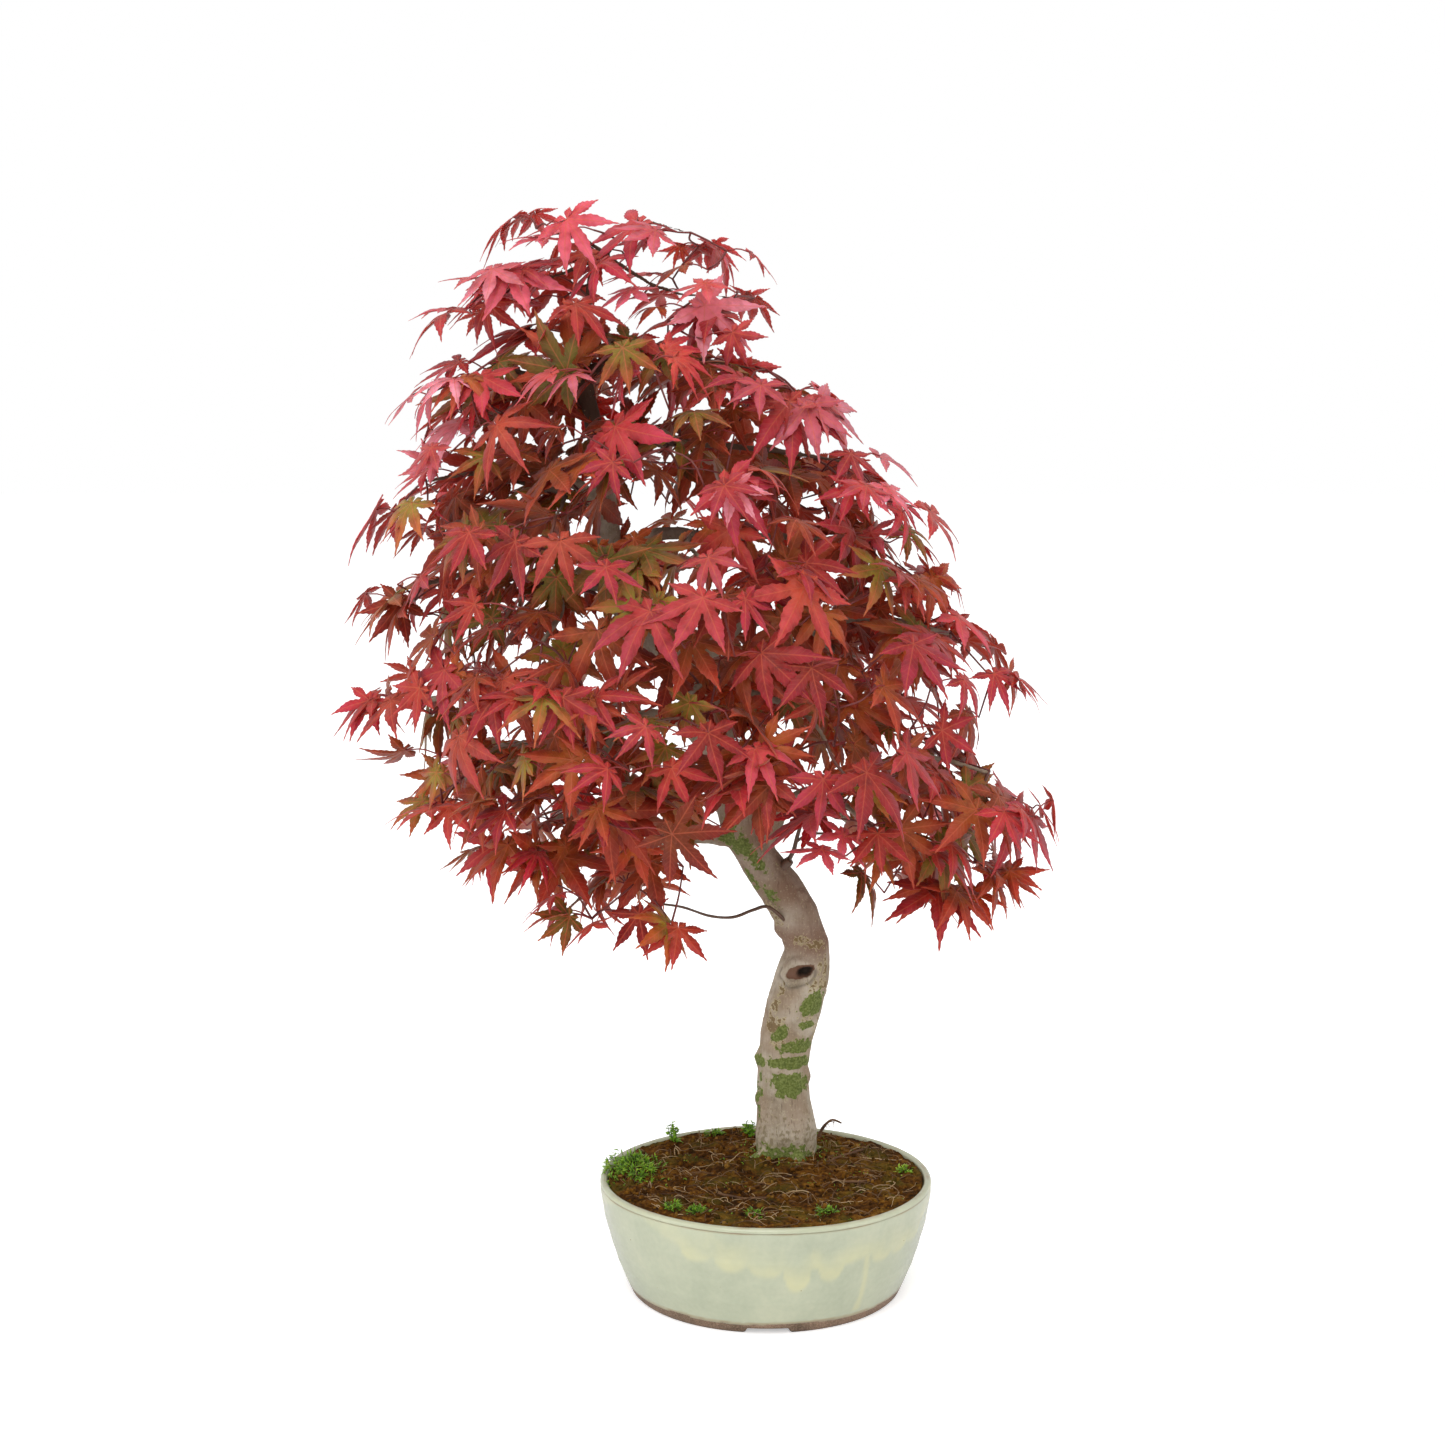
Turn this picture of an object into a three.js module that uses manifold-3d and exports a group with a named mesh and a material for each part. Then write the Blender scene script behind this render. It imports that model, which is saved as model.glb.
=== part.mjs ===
// A Japanese maple bonsai in a round glazed pot.
//
// Units are millimetres, +Z is up and the origin is the centre of the pot's foot, on the surface
// that the pot stands on. +X is the tree's right and -Y is its front.
// The pot is filled with soil, the tree's root flare is bedded in the soil, and the leaves are
// carried in sprays: each spray is one domed layer of leaves at the end of a branch.

import * as THREE from 'three';
import { mergeVertices } from 'three/addons/utils/BufferGeometryUtils.js';
import Module from 'manifold-3d';

const wasm = await Module();
wasm.setup();

// ---------------------------------------------------------------- driving dimensions

// Pot
const POT_RIM_RADIUS = 100; // outside, at the widest point of the lip
const POT_FOOT_RADIUS = 81; // outside, where the pot stands
const POT_HEIGHT = 69;
const POT_WALL = 4.5;
const POT_FLOOR = 6; // thickness of the floor
const POT_FOOT_HEIGHT = 3.5; // the underside is raised this much above the standing plane
const POT_FOOT_RING = 9; // width of the ring that the pot stands on
const POT_BELLY = 1.7; // how much the flaring wall bows out: 1 is a straight cone
const POT_CORNER = 5; // the inside corner between the floor and the wall
const POT_SEGMENTS = 48;
const NOTCH_COUNT = 3;
const NOTCH_WIDTH = 27;
const DRAIN_RADIUS = 7;
const DRAIN_OFFSET = 32; // distance of each drain hole from the pot's centre

// Drain screens and the wire clips that hold them
const SCREEN_SIDE = 24;
const SCREEN_THICKNESS = 1;
const MESH_PITCH = 5;
const MESH_OPENING = 3.4;
const CLIP_WIRE = 1.2; // wire diameter
const CLIP_FOOT = 6; // length of the part bent outwards under the floor

// Soil
const SOIL_DROP = 4; // soil surface below the lip, at the wall
const SOIL_MOUND = 6; // height of the mound round the trunk
const SOIL_MOUND_SPREAD = 55; // how far the mound runs out
const SOIL_RINGS = 5;

// Tree
const TREE_HEIGHT = 580; // from the soil to the top of the crown
const CROWN_SPREAD = 460; // from the leftmost to the rightmost leaf tip
const TRUNK_BASE_RADIUS = 18.5; // just above the root flare
const TRUNK_STAND = [14, 45]; // where the trunk stands in the pot
const ROOT_FLARE_REACH = 44; // how far the thick roots run out under the surface
const ROOT_FLARE_DEPTH = 16;
const ROOT_BALL_DEPTH = 30; // how deep the stump goes
const TRUNK_SIDES = 12;
const BRANCH_SIDES = 6;
const TWIG_SIDES = 5;
const SPRAY_THICKNESS = 7; // the layer of leaves in a spray, at its middle
const SPRAY_POINTS = 7; // leaf tips drawn round the edge of a spray
const SPRAY_NOTCH = 0.2; // depth of the notches between them, as a share of the spray
const SPRAY_ARCH = 0.1; // rise of a spray's middle over its length
const SPRAY_DROOP = 0.28; // fall of a spray's sides over its half width
const TWIG_REACH = 0.45; // how far along a spray its twig carries it
const BRANCH_RISE = 0.65; // share of its climb that a branch makes in its first half

// What lies and grows on the soil
const MOSS_HEIGHT = 9;
const TUFT_HEIGHT = 4;
const WEED_HEIGHT = 16;
const LOOSE_ROOT_RADIUS = 0.9;
const DEAD_TWIG_RADIUS = 1.1;

const GAP = 0.3; // clearance between pieces that touch
const SOIL_SIDE_GAP = 0.6; // the same between the soil and the bowed wall

// ---------------------------------------------------------------- the tree as it was drawn

// The tree's own points are drawn in millimetres on a tree 580 high and 460 wide, measured up
// from the soil (z) and across from the middle of the pot (x, y).
const DRAWN_HEIGHT = 580;
const DRAWN_SPREAD = 460;
const DRAWN_BASE_RADIUS = 18.5;

// Trunk centre line from the soil to the apex: x, y, height, radius.
const TRUNK = [
  [14, 45, 0, 18.5],
  [12, 45, 30, 17],
  [12, 45, 60, 16],
  [17, 44, 88, 17.5],
  [23, 42, 110, 17],
  [26, 40, 127, 14.5],
  [21, 37, 145, 14],
  [10, 34, 166, 13.5],
  [-3, 32, 184, 12.5],
  [-16, 30, 205, 11],
  [-26, 25, 250, 9.5],
  [-40, 24, 295, 9],
  [-69, 26, 323, 9],
  [-89, 30, 348, 9],
  [-95, 33, 380, 8.5],
  [-99, 33, 430, 6.3],
  [-106, 28, 465, 4.8],
  [-108, 22, 500, 3.2],
  [-100, 14, 540, 2],
];

// Bearings of the thick roots round the trunk, in degrees from +X.
const ROOT_BEARINGS = [15, 80, 150, 215, 290];

// Each branch leaves the trunk at a height, runs to a fork and there splits into its sprays.
// A spray is drawn from its root, where the leaves start, to its tip, with its width.
const BRANCHES = [
  {
    name: 'low_right', height: 186, radius: 5, fork: [38, 18, 222],
    sprays: [
      { name: 'outer', root: [78, -5, 262], tip: [194, -22, 212], width: 118 },
      { name: 'under', root: [62, 10, 208], tip: [168, 12, 166], width: 104 },
      { name: 'front', root: [38, -30, 240], tip: [78, -104, 194], width: 116 },
      { name: 'back', root: [62, 62, 236], tip: [118, 138, 196], width: 118 },
    ],
  },
  {
    name: 'low_left', height: 196, radius: 4.5, fork: [-58, 22, 200],
    sprays: [
      { name: 'outer', root: [-104, 14, 226], tip: [-184, 2, 172], width: 108 },
      { name: 'front', root: [-66, -18, 208], tip: [-92, -74, 146], width: 112 },
      { name: 'back', root: [-62, 74, 252], tip: [-74, 156, 214], width: 136 },
    ],
  },
  {
    name: 'left_1', height: 246, radius: 5, fork: [-88, 14, 272],
    sprays: [
      { name: 'long', root: [-176, 8, 292], tip: [-262, 2, 268], width: 66 },
      { name: 'outer', root: [-142, -8, 256], tip: [-222, -22, 216], width: 104 },
      { name: 'front', root: [-96, -38, 262], tip: [-136, -116, 214], width: 124 },
      { name: 'back', root: [-128, 66, 262], tip: [-176, 112, 226], width: 104 },
    ],
  },
  {
    name: 'front_1', height: 280, radius: 4.5, fork: [-30, -16, 300],
    sprays: [
      { name: 'left', root: [-42, -52, 306], tip: [-58, -146, 254], width: 136 },
      { name: 'right', root: [18, -34, 292], tip: [50, -138, 236], width: 138 },
    ],
  },
  {
    name: 'right_1', height: 300, radius: 5, fork: [24, 14, 330],
    sprays: [
      { name: 'outer', root: [60, 4, 342], tip: [166, 2, 294], width: 116 },
      { name: 'back', root: [40, 62, 316], tip: [84, 146, 274], width: 126 },
    ],
  },
  {
    name: 'left_2', height: 332, radius: 5, fork: [-128, 28, 352],
    sprays: [
      { name: 'outer', root: [-168, 22, 366], tip: [-246, 14, 330], width: 112 },
      { name: 'front', root: [-118, -26, 348], tip: [-140, -122, 290], width: 132 },
      { name: 'back', root: [-120, 78, 344], tip: [-142, 154, 304], width: 134 },
    ],
  },
  {
    name: 'right_2', height: 366, radius: 4.5, fork: [-36, 18, 382],
    sprays: [
      { name: 'outer', root: [14, 8, 388], tip: [114, 0, 356], width: 112 },
      { name: 'front', root: [-48, -34, 388], tip: [-18, -126, 342], width: 128 },
      { name: 'back', root: [-22, 74, 386], tip: [4, 152, 342], width: 132 },
    ],
  },
  {
    name: 'left_3', height: 392, radius: 4, fork: [-134, 22, 412],
    sprays: [
      { name: 'outer', root: [-166, 16, 424], tip: [-242, 6, 396], width: 108 },
      { name: 'front', root: [-116, -24, 414], tip: [-124, -116, 366], width: 132 },
    ],
  },
  {
    name: 'right_3', height: 424, radius: 4, fork: [-52, 14, 438],
    sprays: [
      { name: 'outer', root: [-4, -4, 440], tip: [110, -16, 398], width: 116 },
      { name: 'front', root: [-72, -28, 448], tip: [-40, -108, 410], width: 120 },
      { name: 'back', root: [-88, 66, 440], tip: [-92, 134, 400], width: 128 },
    ],
  },
  {
    name: 'left_4', height: 452, radius: 3.2, fork: [-132, 20, 474],
    sprays: [{ name: 'outer', root: [-144, 14, 484], tip: [-220, 2, 452], width: 112 }],
  },
  {
    name: 'right_4', height: 474, radius: 3, fork: [-76, 8, 488],
    sprays: [
      { name: 'outer', root: [-46, -4, 492], tip: [54, -12, 452], width: 110 },
      { name: 'front', root: [-92, -20, 502], tip: [-78, -92, 462], width: 118 },
      { name: 'back', root: [-100, 44, 504], tip: [-96, 102, 472], width: 110 },
    ],
  },
  {
    name: 'apex', height: 520, radius: 2.4, fork: [-94, 10, 546],
    sprays: [
      { name: 'left', root: [-126, 10, 536], tip: [-196, 2, 508], width: 96 },
      { name: 'right', root: [-62, 4, 530], tip: [34, -6, 500], width: 92 },
      { name: 'top', root: [-112, 2, 562], tip: [-158, -14, 552], width: 78 },
      { name: 'crown', root: [-76, 2, 568], tip: [-6, -12, 536], width: 84 },
    ],
  },
];

// ---------------------------------------------------------------- solids

/** A closed three.js geometry as a solid that can be joined and cut. */
function toSolid(geometry) {
  const bare = geometry.index ? geometry.toNonIndexed() : geometry.clone();
  for (const name of Object.keys(bare.attributes)) {
    if (name !== 'position') bare.deleteAttribute(name);
  }
  const merged = mergeVertices(bare, 1e-4);
  const corners = merged.index.array;
  const whole = [];
  for (let i = 0; i < corners.length; i += 3) {
    const [a, b, c] = [corners[i], corners[i + 1], corners[i + 2]];
    if (a !== b && b !== c && c !== a) whole.push(a, b, c);
  }
  return new wasm.Manifold(new wasm.Mesh({
    numProp: 3,
    vertProperties: new Float32Array(merged.attributes.position.array),
    triVerts: new Uint32Array(whole),
  }));
}

/** A solid as a three.js geometry. */
function toGeometry(solid) {
  const { vertProperties, triVerts } = solid.getMesh();
  const geometry = new THREE.BufferGeometry();
  geometry.setAttribute('position', new THREE.BufferAttribute(new Float32Array(vertProperties), 3));
  geometry.setIndex(new THREE.BufferAttribute(new Uint32Array(triVerts), 1));
  geometry.computeVertexNormals();
  return geometry;
}

/** The largest of the bodies that a cut leaves. */
function largestBody(solid) {
  return solid.decompose().reduce((best, body) => (body.volume() > best.volume() ? body : best));
}

/** Move every vertex of a geometry by a rule that changes the point in place. */
function reshape(geometry, rule) {
  const { position } = geometry.attributes;
  const point = new THREE.Vector3();
  for (let i = 0; i < position.count; i += 1) {
    rule(point.fromBufferAttribute(position, i));
    position.setXYZ(i, point.x, point.y, point.z);
  }
  return geometry;
}

/** A profile of [radius, height] pairs turned round the Z axis. */
function turned(profile, segments) {
  const points = profile.map(([radius, height]) => new THREE.Vector2(radius, height));
  return new THREE.LatheGeometry(points, segments).rotateX(Math.PI / 2);
}

/** A box by its middle and its sides. */
function block(middle, sides) {
  return toSolid(new THREE.BoxGeometry(...sides).translate(...middle));
}

/** An upright round bar by the middle of its lower end, its radius and its height. */
function bar([x, y, z], radius, height, sides) {
  const geometry = new THREE.CylinderGeometry(radius, radius, height, sides);
  return toSolid(geometry.rotateX(Math.PI / 2).translate(x, y, z + height / 2));
}

/** A round limb that follows [x, y, z, radius] points: a cylinder bent along their curve. */
function limb(points, sides, rings) {
  const curve = new THREE.CatmullRomCurve3(points.map(([x, y, z]) => new THREE.Vector3(x, y, z)));
  const radii = new THREE.SplineCurve(points.map(([, , , radius], i) => new THREE.Vector2(i, radius)));
  const { normals, binormals } = curve.computeFrenetFrames(rings, false);
  const geometry = new THREE.CylinderGeometry(1, 1, rings, sides, rings);
  return toSolid(reshape(geometry, (point) => {
    const ring = Math.round(point.y + rings / 2);
    const share = curve.getUtoTmapping(ring / rings);
    const radius = radii.getPoint(share).y;
    const [across, along] = [-point.x * radius, point.z * radius];
    point.copy(curve.getPoint(share));
    point.addScaledVector(normals[ring], across).addScaledVector(binormals[ring], along);
  }));
}

// ---------------------------------------------------------------- pot

const underside = POT_FOOT_HEIGHT;
const floorTop = POT_FOOT_HEIGHT + POT_FLOOR;

/** Outside radius of the pot's wall at a height: it flares from the foot and bows up to the lip. */
function outerRadius(height) {
  const down = Math.max(0, 1 - height / POT_HEIGHT);
  return POT_RIM_RADIUS - (POT_RIM_RADIUS - POT_FOOT_RADIUS) * down ** POT_BELLY;
}

/** Inside radius of the pot's wall at a height. */
function innerRadius(height) {
  return outerRadius(height) - POT_WALL;
}

function potSolid() {
  const lip = POT_WALL / 2;
  const lipMiddle = POT_HEIGHT - lip;
  const ringInside = POT_FOOT_RADIUS - POT_FOOT_RING;
  const outside = [0, 0.12, 0.3, 0.55, 0.8].map((share) => share * lipMiddle);
  const inside = [0.75, 0.4].map((share) => share * lipMiddle);
  const lipArc = [0, 60, 120, 180].map((degrees) => {
    const turn = THREE.MathUtils.degToRad(degrees);
    return [outerRadius(lipMiddle) - lip + lip * Math.cos(turn), lipMiddle + lip * Math.sin(turn)];
  });
  const profile = [
    [0, underside],
    [ringInside, underside],
    [ringInside, 0],
    ...outside.map((height) => [outerRadius(height), height]),
    ...lipArc,
    ...inside.map((height) => [innerRadius(height), height]),
    [innerRadius(floorTop + POT_CORNER), floorTop + POT_CORNER],
    [innerRadius(floorTop) - POT_CORNER, floorTop],
    [0, floorTop],
  ];
  let pot = toSolid(turned(profile, POT_SEGMENTS));
  for (let i = 0; i < NOTCH_COUNT; i += 1) {
    const turn = (i / NOTCH_COUNT) * 360;
    const cut = block([0, -POT_FOOT_RADIUS, 0], [NOTCH_WIDTH, 4 * POT_FOOT_RING, 2 * POT_FOOT_HEIGHT]);
    pot = pot.subtract(cut.rotate([0, 0, turn]));
  }
  for (const side of [-1, 1]) {
    const start = [side * DRAIN_OFFSET, 0, underside - 1];
    pot = pot.subtract(bar(start, DRAIN_RADIUS, POT_FLOOR + 2, 20));
  }
  return pot;
}

// ---------------------------------------------------------------- drain screens and clips

const screenBottom = floorTop + GAP;
const screenTop = screenBottom + SCREEN_THICKNESS;
const clipTop = screenTop + GAP + CLIP_WIRE;

function screenSolid(side) {
  const middle = [side * DRAIN_OFFSET, 0, screenBottom + SCREEN_THICKNESS / 2];
  let sheet = block(middle, [SCREEN_SIDE, SCREEN_SIDE, SCREEN_THICKNESS]);
  for (const column of [-1, 0, 1]) {
    for (const row of [-1, 0, 1]) {
      const opening = [middle[0] + column * MESH_PITCH, middle[1] + row * MESH_PITCH, middle[2]];
      sheet = sheet.subtract(block(opening, [MESH_OPENING, MESH_OPENING, 2 * SCREEN_THICKNESS]));
    }
  }
  return sheet;
}

function clipSolid(side) {
  const wire = CLIP_WIRE / 2;
  const leg = MESH_PITCH;
  const low = underside - GAP - wire;
  const high = screenTop + GAP + wire;
  const bend = CLIP_WIRE;
  const path = [
    [-leg - CLIP_FOOT, low], [-leg - bend, low], [-leg, low + bend], [-leg, high - bend], [-leg + bend, high],
    [leg - bend, high], [leg, high - bend], [leg, low + bend], [leg + bend, low], [leg + CLIP_FOOT, low],
  ];
  return wireAlong(path.map(([x, z]) => [side * DRAIN_OFFSET + x, 0, z, wire]), 6);
}

/** A wire with sharp bends: a cylinder whose rings stand square between its neighbours. */
function wireAlong(points, sides) {
  const stations = points.map(([x, y, z]) => new THREE.Vector3(x, y, z));
  const last = stations.length - 1;
  const geometry = new THREE.CylinderGeometry(1, 1, last, sides, last);
  return toSolid(reshape(geometry, (point) => {
    const ring = Math.round(point.y + last / 2);
    const before = stations[Math.max(0, ring - 1)];
    const after = stations[Math.min(last, ring + 1)];
    const ahead = after.clone().sub(before).normalize();
    const sideways = new THREE.Vector3(0, 1, 0);
    const upward = ahead.clone().cross(sideways);
    const radius = points[ring][3];
    const [across, along] = [-point.x * radius, point.z * radius];
    point.copy(stations[ring]).addScaledVector(sideways, across).addScaledVector(upward, along);
  }));
}

// ---------------------------------------------------------------- soil

const soilEdge = POT_HEIGHT - SOIL_DROP;

/** Height of the soil's surface: level at the wall, mounded round the trunk. */
function soilTop(x, y) {
  const distance = Math.hypot(x - TRUNK_STAND[0], y - TRUNK_STAND[1]);
  const edge = 1 - Math.min(1, Math.hypot(x, y) / innerRadius(soilEdge)) ** 4;
  return soilEdge + SOIL_MOUND * edge * Math.exp(-((distance / SOIL_MOUND_SPREAD) ** 2));
}

/** The filling of the pot. A raised copy, higher by the gap, is what lies on it is cut with. */
function soilSolid(raise) {
  const bottom = floorTop + GAP;
  const lipMiddle = POT_HEIGHT - POT_WALL / 2;
  const skin = (height) => innerRadius(height) - SOIL_SIDE_GAP + raise;
  const side = [floorTop + POT_CORNER, 0.4 * lipMiddle, soilEdge];
  const rings = Array.from({ length: SOIL_RINGS }, (_, i) => i + 1);
  const profile = [
    [0, bottom],
    [innerRadius(floorTop) - POT_CORNER - SOIL_SIDE_GAP, bottom],
    ...side.map((height) => [skin(height), height]),
    ...rings.map((ring) => [skin(soilEdge) * (1 - ring / SOIL_RINGS), soilEdge]),
  ];
  const geometry = turned(profile, POT_SEGMENTS);
  return toSolid(reshape(geometry, (point) => {
    if (point.z > soilEdge - GAP) point.z = soilTop(point.x, point.y) + raise;
  }));
}

// ---------------------------------------------------------------- wood

const soilAtTrunk = soilTop(...TRUNK_STAND);

/** A drawn point of the tree at its real place. */
function place([x, y, height]) {
  const spread = CROWN_SPREAD / DRAWN_SPREAD;
  const [standX, standY] = TRUNK_STAND;
  return [
    standX + (x - TRUNK[0][0]) * spread,
    standY + (y - TRUNK[0][1]) * spread,
    soilAtTrunk + height * (TREE_HEIGHT / DRAWN_HEIGHT),
  ];
}

/** A drawn thickness of wood at its real size. */
function thickness(radius) {
  return radius * (TRUNK_BASE_RADIUS / DRAWN_BASE_RADIUS);
}

/** The point on the trunk's centre line at a drawn height, with its radius. */
function onTrunk(height) {
  const next = TRUNK.findIndex((station) => station[2] >= height);
  const [low, high] = [TRUNK[next - 1], TRUNK[next]];
  const share = (height - low[2]) / (high[2] - low[2]);
  return low.map((value, i) => value + (high[i] - value) * share);
}

function trunkSolid(clearance) {
  const stations = TRUNK.map(([x, y, z, radius]) => [...place([x, y, z]), thickness(radius) + clearance]);
  const [x, y, z, radius] = stations[0];
  const stump = [
    [x, y, z - ROOT_BALL_DEPTH, radius * 0.5],
    [x, y, z - ROOT_BALL_DEPTH / 2, radius * 0.9],
    [x, y, z, radius * 1.12],
  ];
  return limb([...stump, ...stations.slice(1)], TRUNK_SIDES, 30);
}

function rootSolid(bearing, clearance) {
  const turn = THREE.MathUtils.degToRad(bearing);
  const [x, y] = TRUNK_STAND;
  const along = (reach, depth, radius) => [
    x + reach * Math.cos(turn), y + reach * Math.sin(turn), soilAtTrunk - depth, radius + clearance,
  ];
  return limb([
    along(TRUNK_BASE_RADIUS * 0.3, 2, TRUNK_BASE_RADIUS * 0.45),
    along(TRUNK_BASE_RADIUS * 1.2, 5, TRUNK_BASE_RADIUS * 0.32),
    along(ROOT_FLARE_REACH, ROOT_FLARE_DEPTH, TRUNK_BASE_RADIUS * 0.14),
  ], BRANCH_SIDES, 4);
}

/** The point of a spray at a share of its length, and aside by a share of its half width. */
function onSpray(spray, share, aside) {
  const [root, tip] = [place(spray.root), place(spray.tip)].map((point) => new THREE.Vector3(...point));
  const run = tip.clone().sub(root);
  const sideways = new THREE.Vector3(-run.y, run.x, 0).normalize();
  const half = (spray.width / 2) * (CROWN_SPREAD / DRAWN_SPREAD);
  const point = root.clone().addScaledVector(run, share).addScaledVector(sideways, aside * half);
  point.z += SPRAY_ARCH * run.length() * (4 * share * (1 - share) - 0.5);
  point.z -= SPRAY_DROOP * half * aside * aside;
  return point;
}

function woodSolid(clearance) {
  let wood = trunkSolid(clearance);
  for (const bearing of ROOT_BEARINGS) wood = wood.add(rootSolid(bearing, clearance));
  for (const branch of BRANCHES) {
    const [x, y, height] = onTrunk(branch.height);
    const start = place([x, y, height]);
    const fork = place(branch.fork);
    const radius = thickness(branch.radius) + clearance;
    const middle = start.map((value, i) => (value + fork[i]) / 2);
    middle[2] += BRANCH_RISE * (fork[2] - start[2]);
    const route = [[...start, radius * 1.25], [...middle, radius], [...fork, radius * 0.8]];
    wood = wood.add(limb(route, BRANCH_SIDES, 4));
    for (const spray of branch.sprays) {
      const twig = thickness(branch.radius) * 0.62 + clearance;
      const inside = onSpray(spray, TWIG_REACH, 0);
      const edge = onSpray(spray, 0.04, 0);
      wood = wood.add(limb([
        [...fork, twig],
        [...edge, twig * 0.75],
        [...inside, Math.max(0.5, thickness(branch.radius) * 0.28) + clearance],
      ], TWIG_SIDES, 5));
    }
  }
  return wood;
}

const wood = woodSolid(0);
const woodRoom = woodSolid(GAP);

// ---------------------------------------------------------------- foliage

/** One spray: a flattened sphere, domed over its twig, with leaf tips drawn out of its edge. */
function spraySolid(spray, clearance) {
  const around = 2 * SPRAY_POINTS;
  const geometry = new THREE.SphereGeometry(1, around, 4).rotateX(Math.PI / 2);
  return toSolid(reshape(geometry, (point) => {
    const bearing = Math.atan2(point.y, point.x);
    const reach = Math.hypot(point.x, point.y);
    const tooth = 1 - SPRAY_NOTCH * reach * (0.5 - 0.5 * Math.cos(SPRAY_POINTS * bearing));
    const share = 0.5 + 0.5 * point.x * tooth;
    const lift = point.z * (SPRAY_THICKNESS / 2 + clearance);
    point.copy(onSpray(spray, share, point.y * tooth));
    point.z += lift;
  }));
}

/** A spray cut clear of the wood and of the sprays that were made before it. */
function cutSpray(spray, earlier) {
  let solid = spraySolid(spray, 0).subtract(woodRoom);
  for (const other of earlier) solid = solid.subtract(spraySolid(other, GAP));
  return largestBody(solid);
}

// ---------------------------------------------------------------- on the soil

const raisedSoil = soilSolid(GAP);
const mouth = bar([0, 0, 0], innerRadius(soilEdge) - SOIL_SIDE_GAP, 2 * POT_HEIGHT, POT_SEGMENTS);

/** A point on the soil's surface, by its bearing round the pot and its share of the way out. */
function onSoil(bearing, share) {
  const turn = THREE.MathUtils.degToRad(bearing);
  const reach = share * innerRadius(soilEdge);
  return [reach * Math.cos(turn), reach * Math.sin(turn)];
}

/** A low cushion, lumpy on top, that follows the soil under it. */
function cushion([x, y], [length, width], bearing, height) {
  const geometry = new THREE.SphereGeometry(1, 10, 6).rotateX(Math.PI / 2);
  const turn = THREE.MathUtils.degToRad(bearing);
  return toSolid(reshape(geometry, (point) => {
    const lump = 1 + 0.12 * Math.sin(5 * point.x + 3 * point.y);
    const [along, across] = [(point.x * length) / 2, (point.y * width) / 2];
    const rise = point.z > 0 ? point.z * height * lump : point.z;
    point.x = x + along * Math.cos(turn) - across * Math.sin(turn);
    point.y = y + along * Math.sin(turn) + across * Math.cos(turn);
    point.z = soilTop(point.x, point.y) + rise;
  })).subtract(raisedSoil).intersect(mouth);
}

/** A rootlet or dead twig: [bearing, share, height above the soil] points with one radius. */
function strand(points, radius) {
  return largestBody(limb(points.map(([bearing, share, height]) => {
    const [x, y] = onSoil(bearing, share);
    return [x, y, soilTop(x, y) + GAP + radius + height, radius];
  }), 6, 8).subtract(raisedSoil).subtract(woodRoom));
}

/** A small weed: a thin stem with leaf whorls, each whorl a flat six-pointed ring of leaves. */
function weedSolid([x, y], height, whorls) {
  let weed = limb([[x, y, soilTop(x, y) - 1, 0.6], [x + 1, y, soilTop(x, y) + height * 0.5, 0.5],
    [x, y - 1, soilTop(x, y) + height, 0.4]], 5, 3);
  for (let i = 0; i < whorls; i += 1) {
    const share = (i + 1) / whorls;
    const radius = 0.32 * height * (1.15 - 0.5 * share);
    const geometry = new THREE.SphereGeometry(1, 12, 2).rotateX(Math.PI / 2);
    weed = weed.add(toSolid(reshape(geometry, (point) => {
      const tooth = 1 - 0.25 * (1 - Math.cos(6 * Math.atan2(point.y, point.x) + i));
      point.set(
        x + point.x * radius * tooth,
        y + point.y * radius * tooth,
        soilTop(x, y) + height * (0.3 + 0.65 * share) + point.z * 1.2,
      );
    })));
  }
  return weed.subtract(raisedSoil).subtract(woodRoom);
}

// ---------------------------------------------------------------- the pieces

/** The soil, opened for the tree's roots, the screens and the clips. */
function soilPiece() {
  let soil = soilSolid(0).subtract(woodRoom);
  const side = SCREEN_SIDE + 2 * GAP;
  const height = clipTop + GAP - floorTop;
  for (const x of [-DRAIN_OFFSET, DRAIN_OFFSET]) {
    soil = soil.subtract(block([x, 0, floorTop + height / 2], [side, side, height]));
  }
  return largestBody(soil);
}

const tree = new THREE.Group();

/** Add one named piece with the finish of what it is made of. */
function add(name, solid, finish) {
  const mesh = new THREE.Mesh(toGeometry(solid), new THREE.MeshStandardMaterial(finish));
  mesh.name = name;
  tree.add(mesh);
}

const GLAZE = { color: 0xc8c9ab, roughness: 0.25, metalness: 0 };
const SOIL = { color: 0x4a3414, roughness: 0.95, metalness: 0 };
const BARK = { color: 0x9c8e73, roughness: 0.8, metalness: 0 };
const LEAF = { color: 0xa8403e, roughness: 0.5, metalness: 0 };
const MOSS = { color: 0x5c7a24, roughness: 0.9, metalness: 0 };
const ROOTLET = { color: 0x937b55, roughness: 0.85, metalness: 0 };
const PLASTIC = { color: 0x2c3230, roughness: 0.5, metalness: 0 };
const WIRE = { color: 0xb4b6b8, roughness: 0.35, metalness: 1 };

add('pot', potSolid(), GLAZE);
for (const [name, side] of [['left', -1], ['right', 1]]) {
  add(`drain_screen_${name}`, screenSolid(side), PLASTIC);
  add(`screen_clip_${name}`, clipSolid(side), WIRE);
}
add('soil', soilPiece(), SOIL);
add('trunk_and_branches', wood, BARK);

const madeSprays = [];
for (const branch of BRANCHES) {
  for (const spray of branch.sprays) {
    add(`spray_${branch.name}_${spray.name}`, cutSpray(spray, madeSprays), LEAF);
    madeSprays.push(spray);
  }
}

add('moss_clump', cushion(onSoil(172, 0.84), [44, 24], 92, MOSS_HEIGHT), MOSS);
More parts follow.
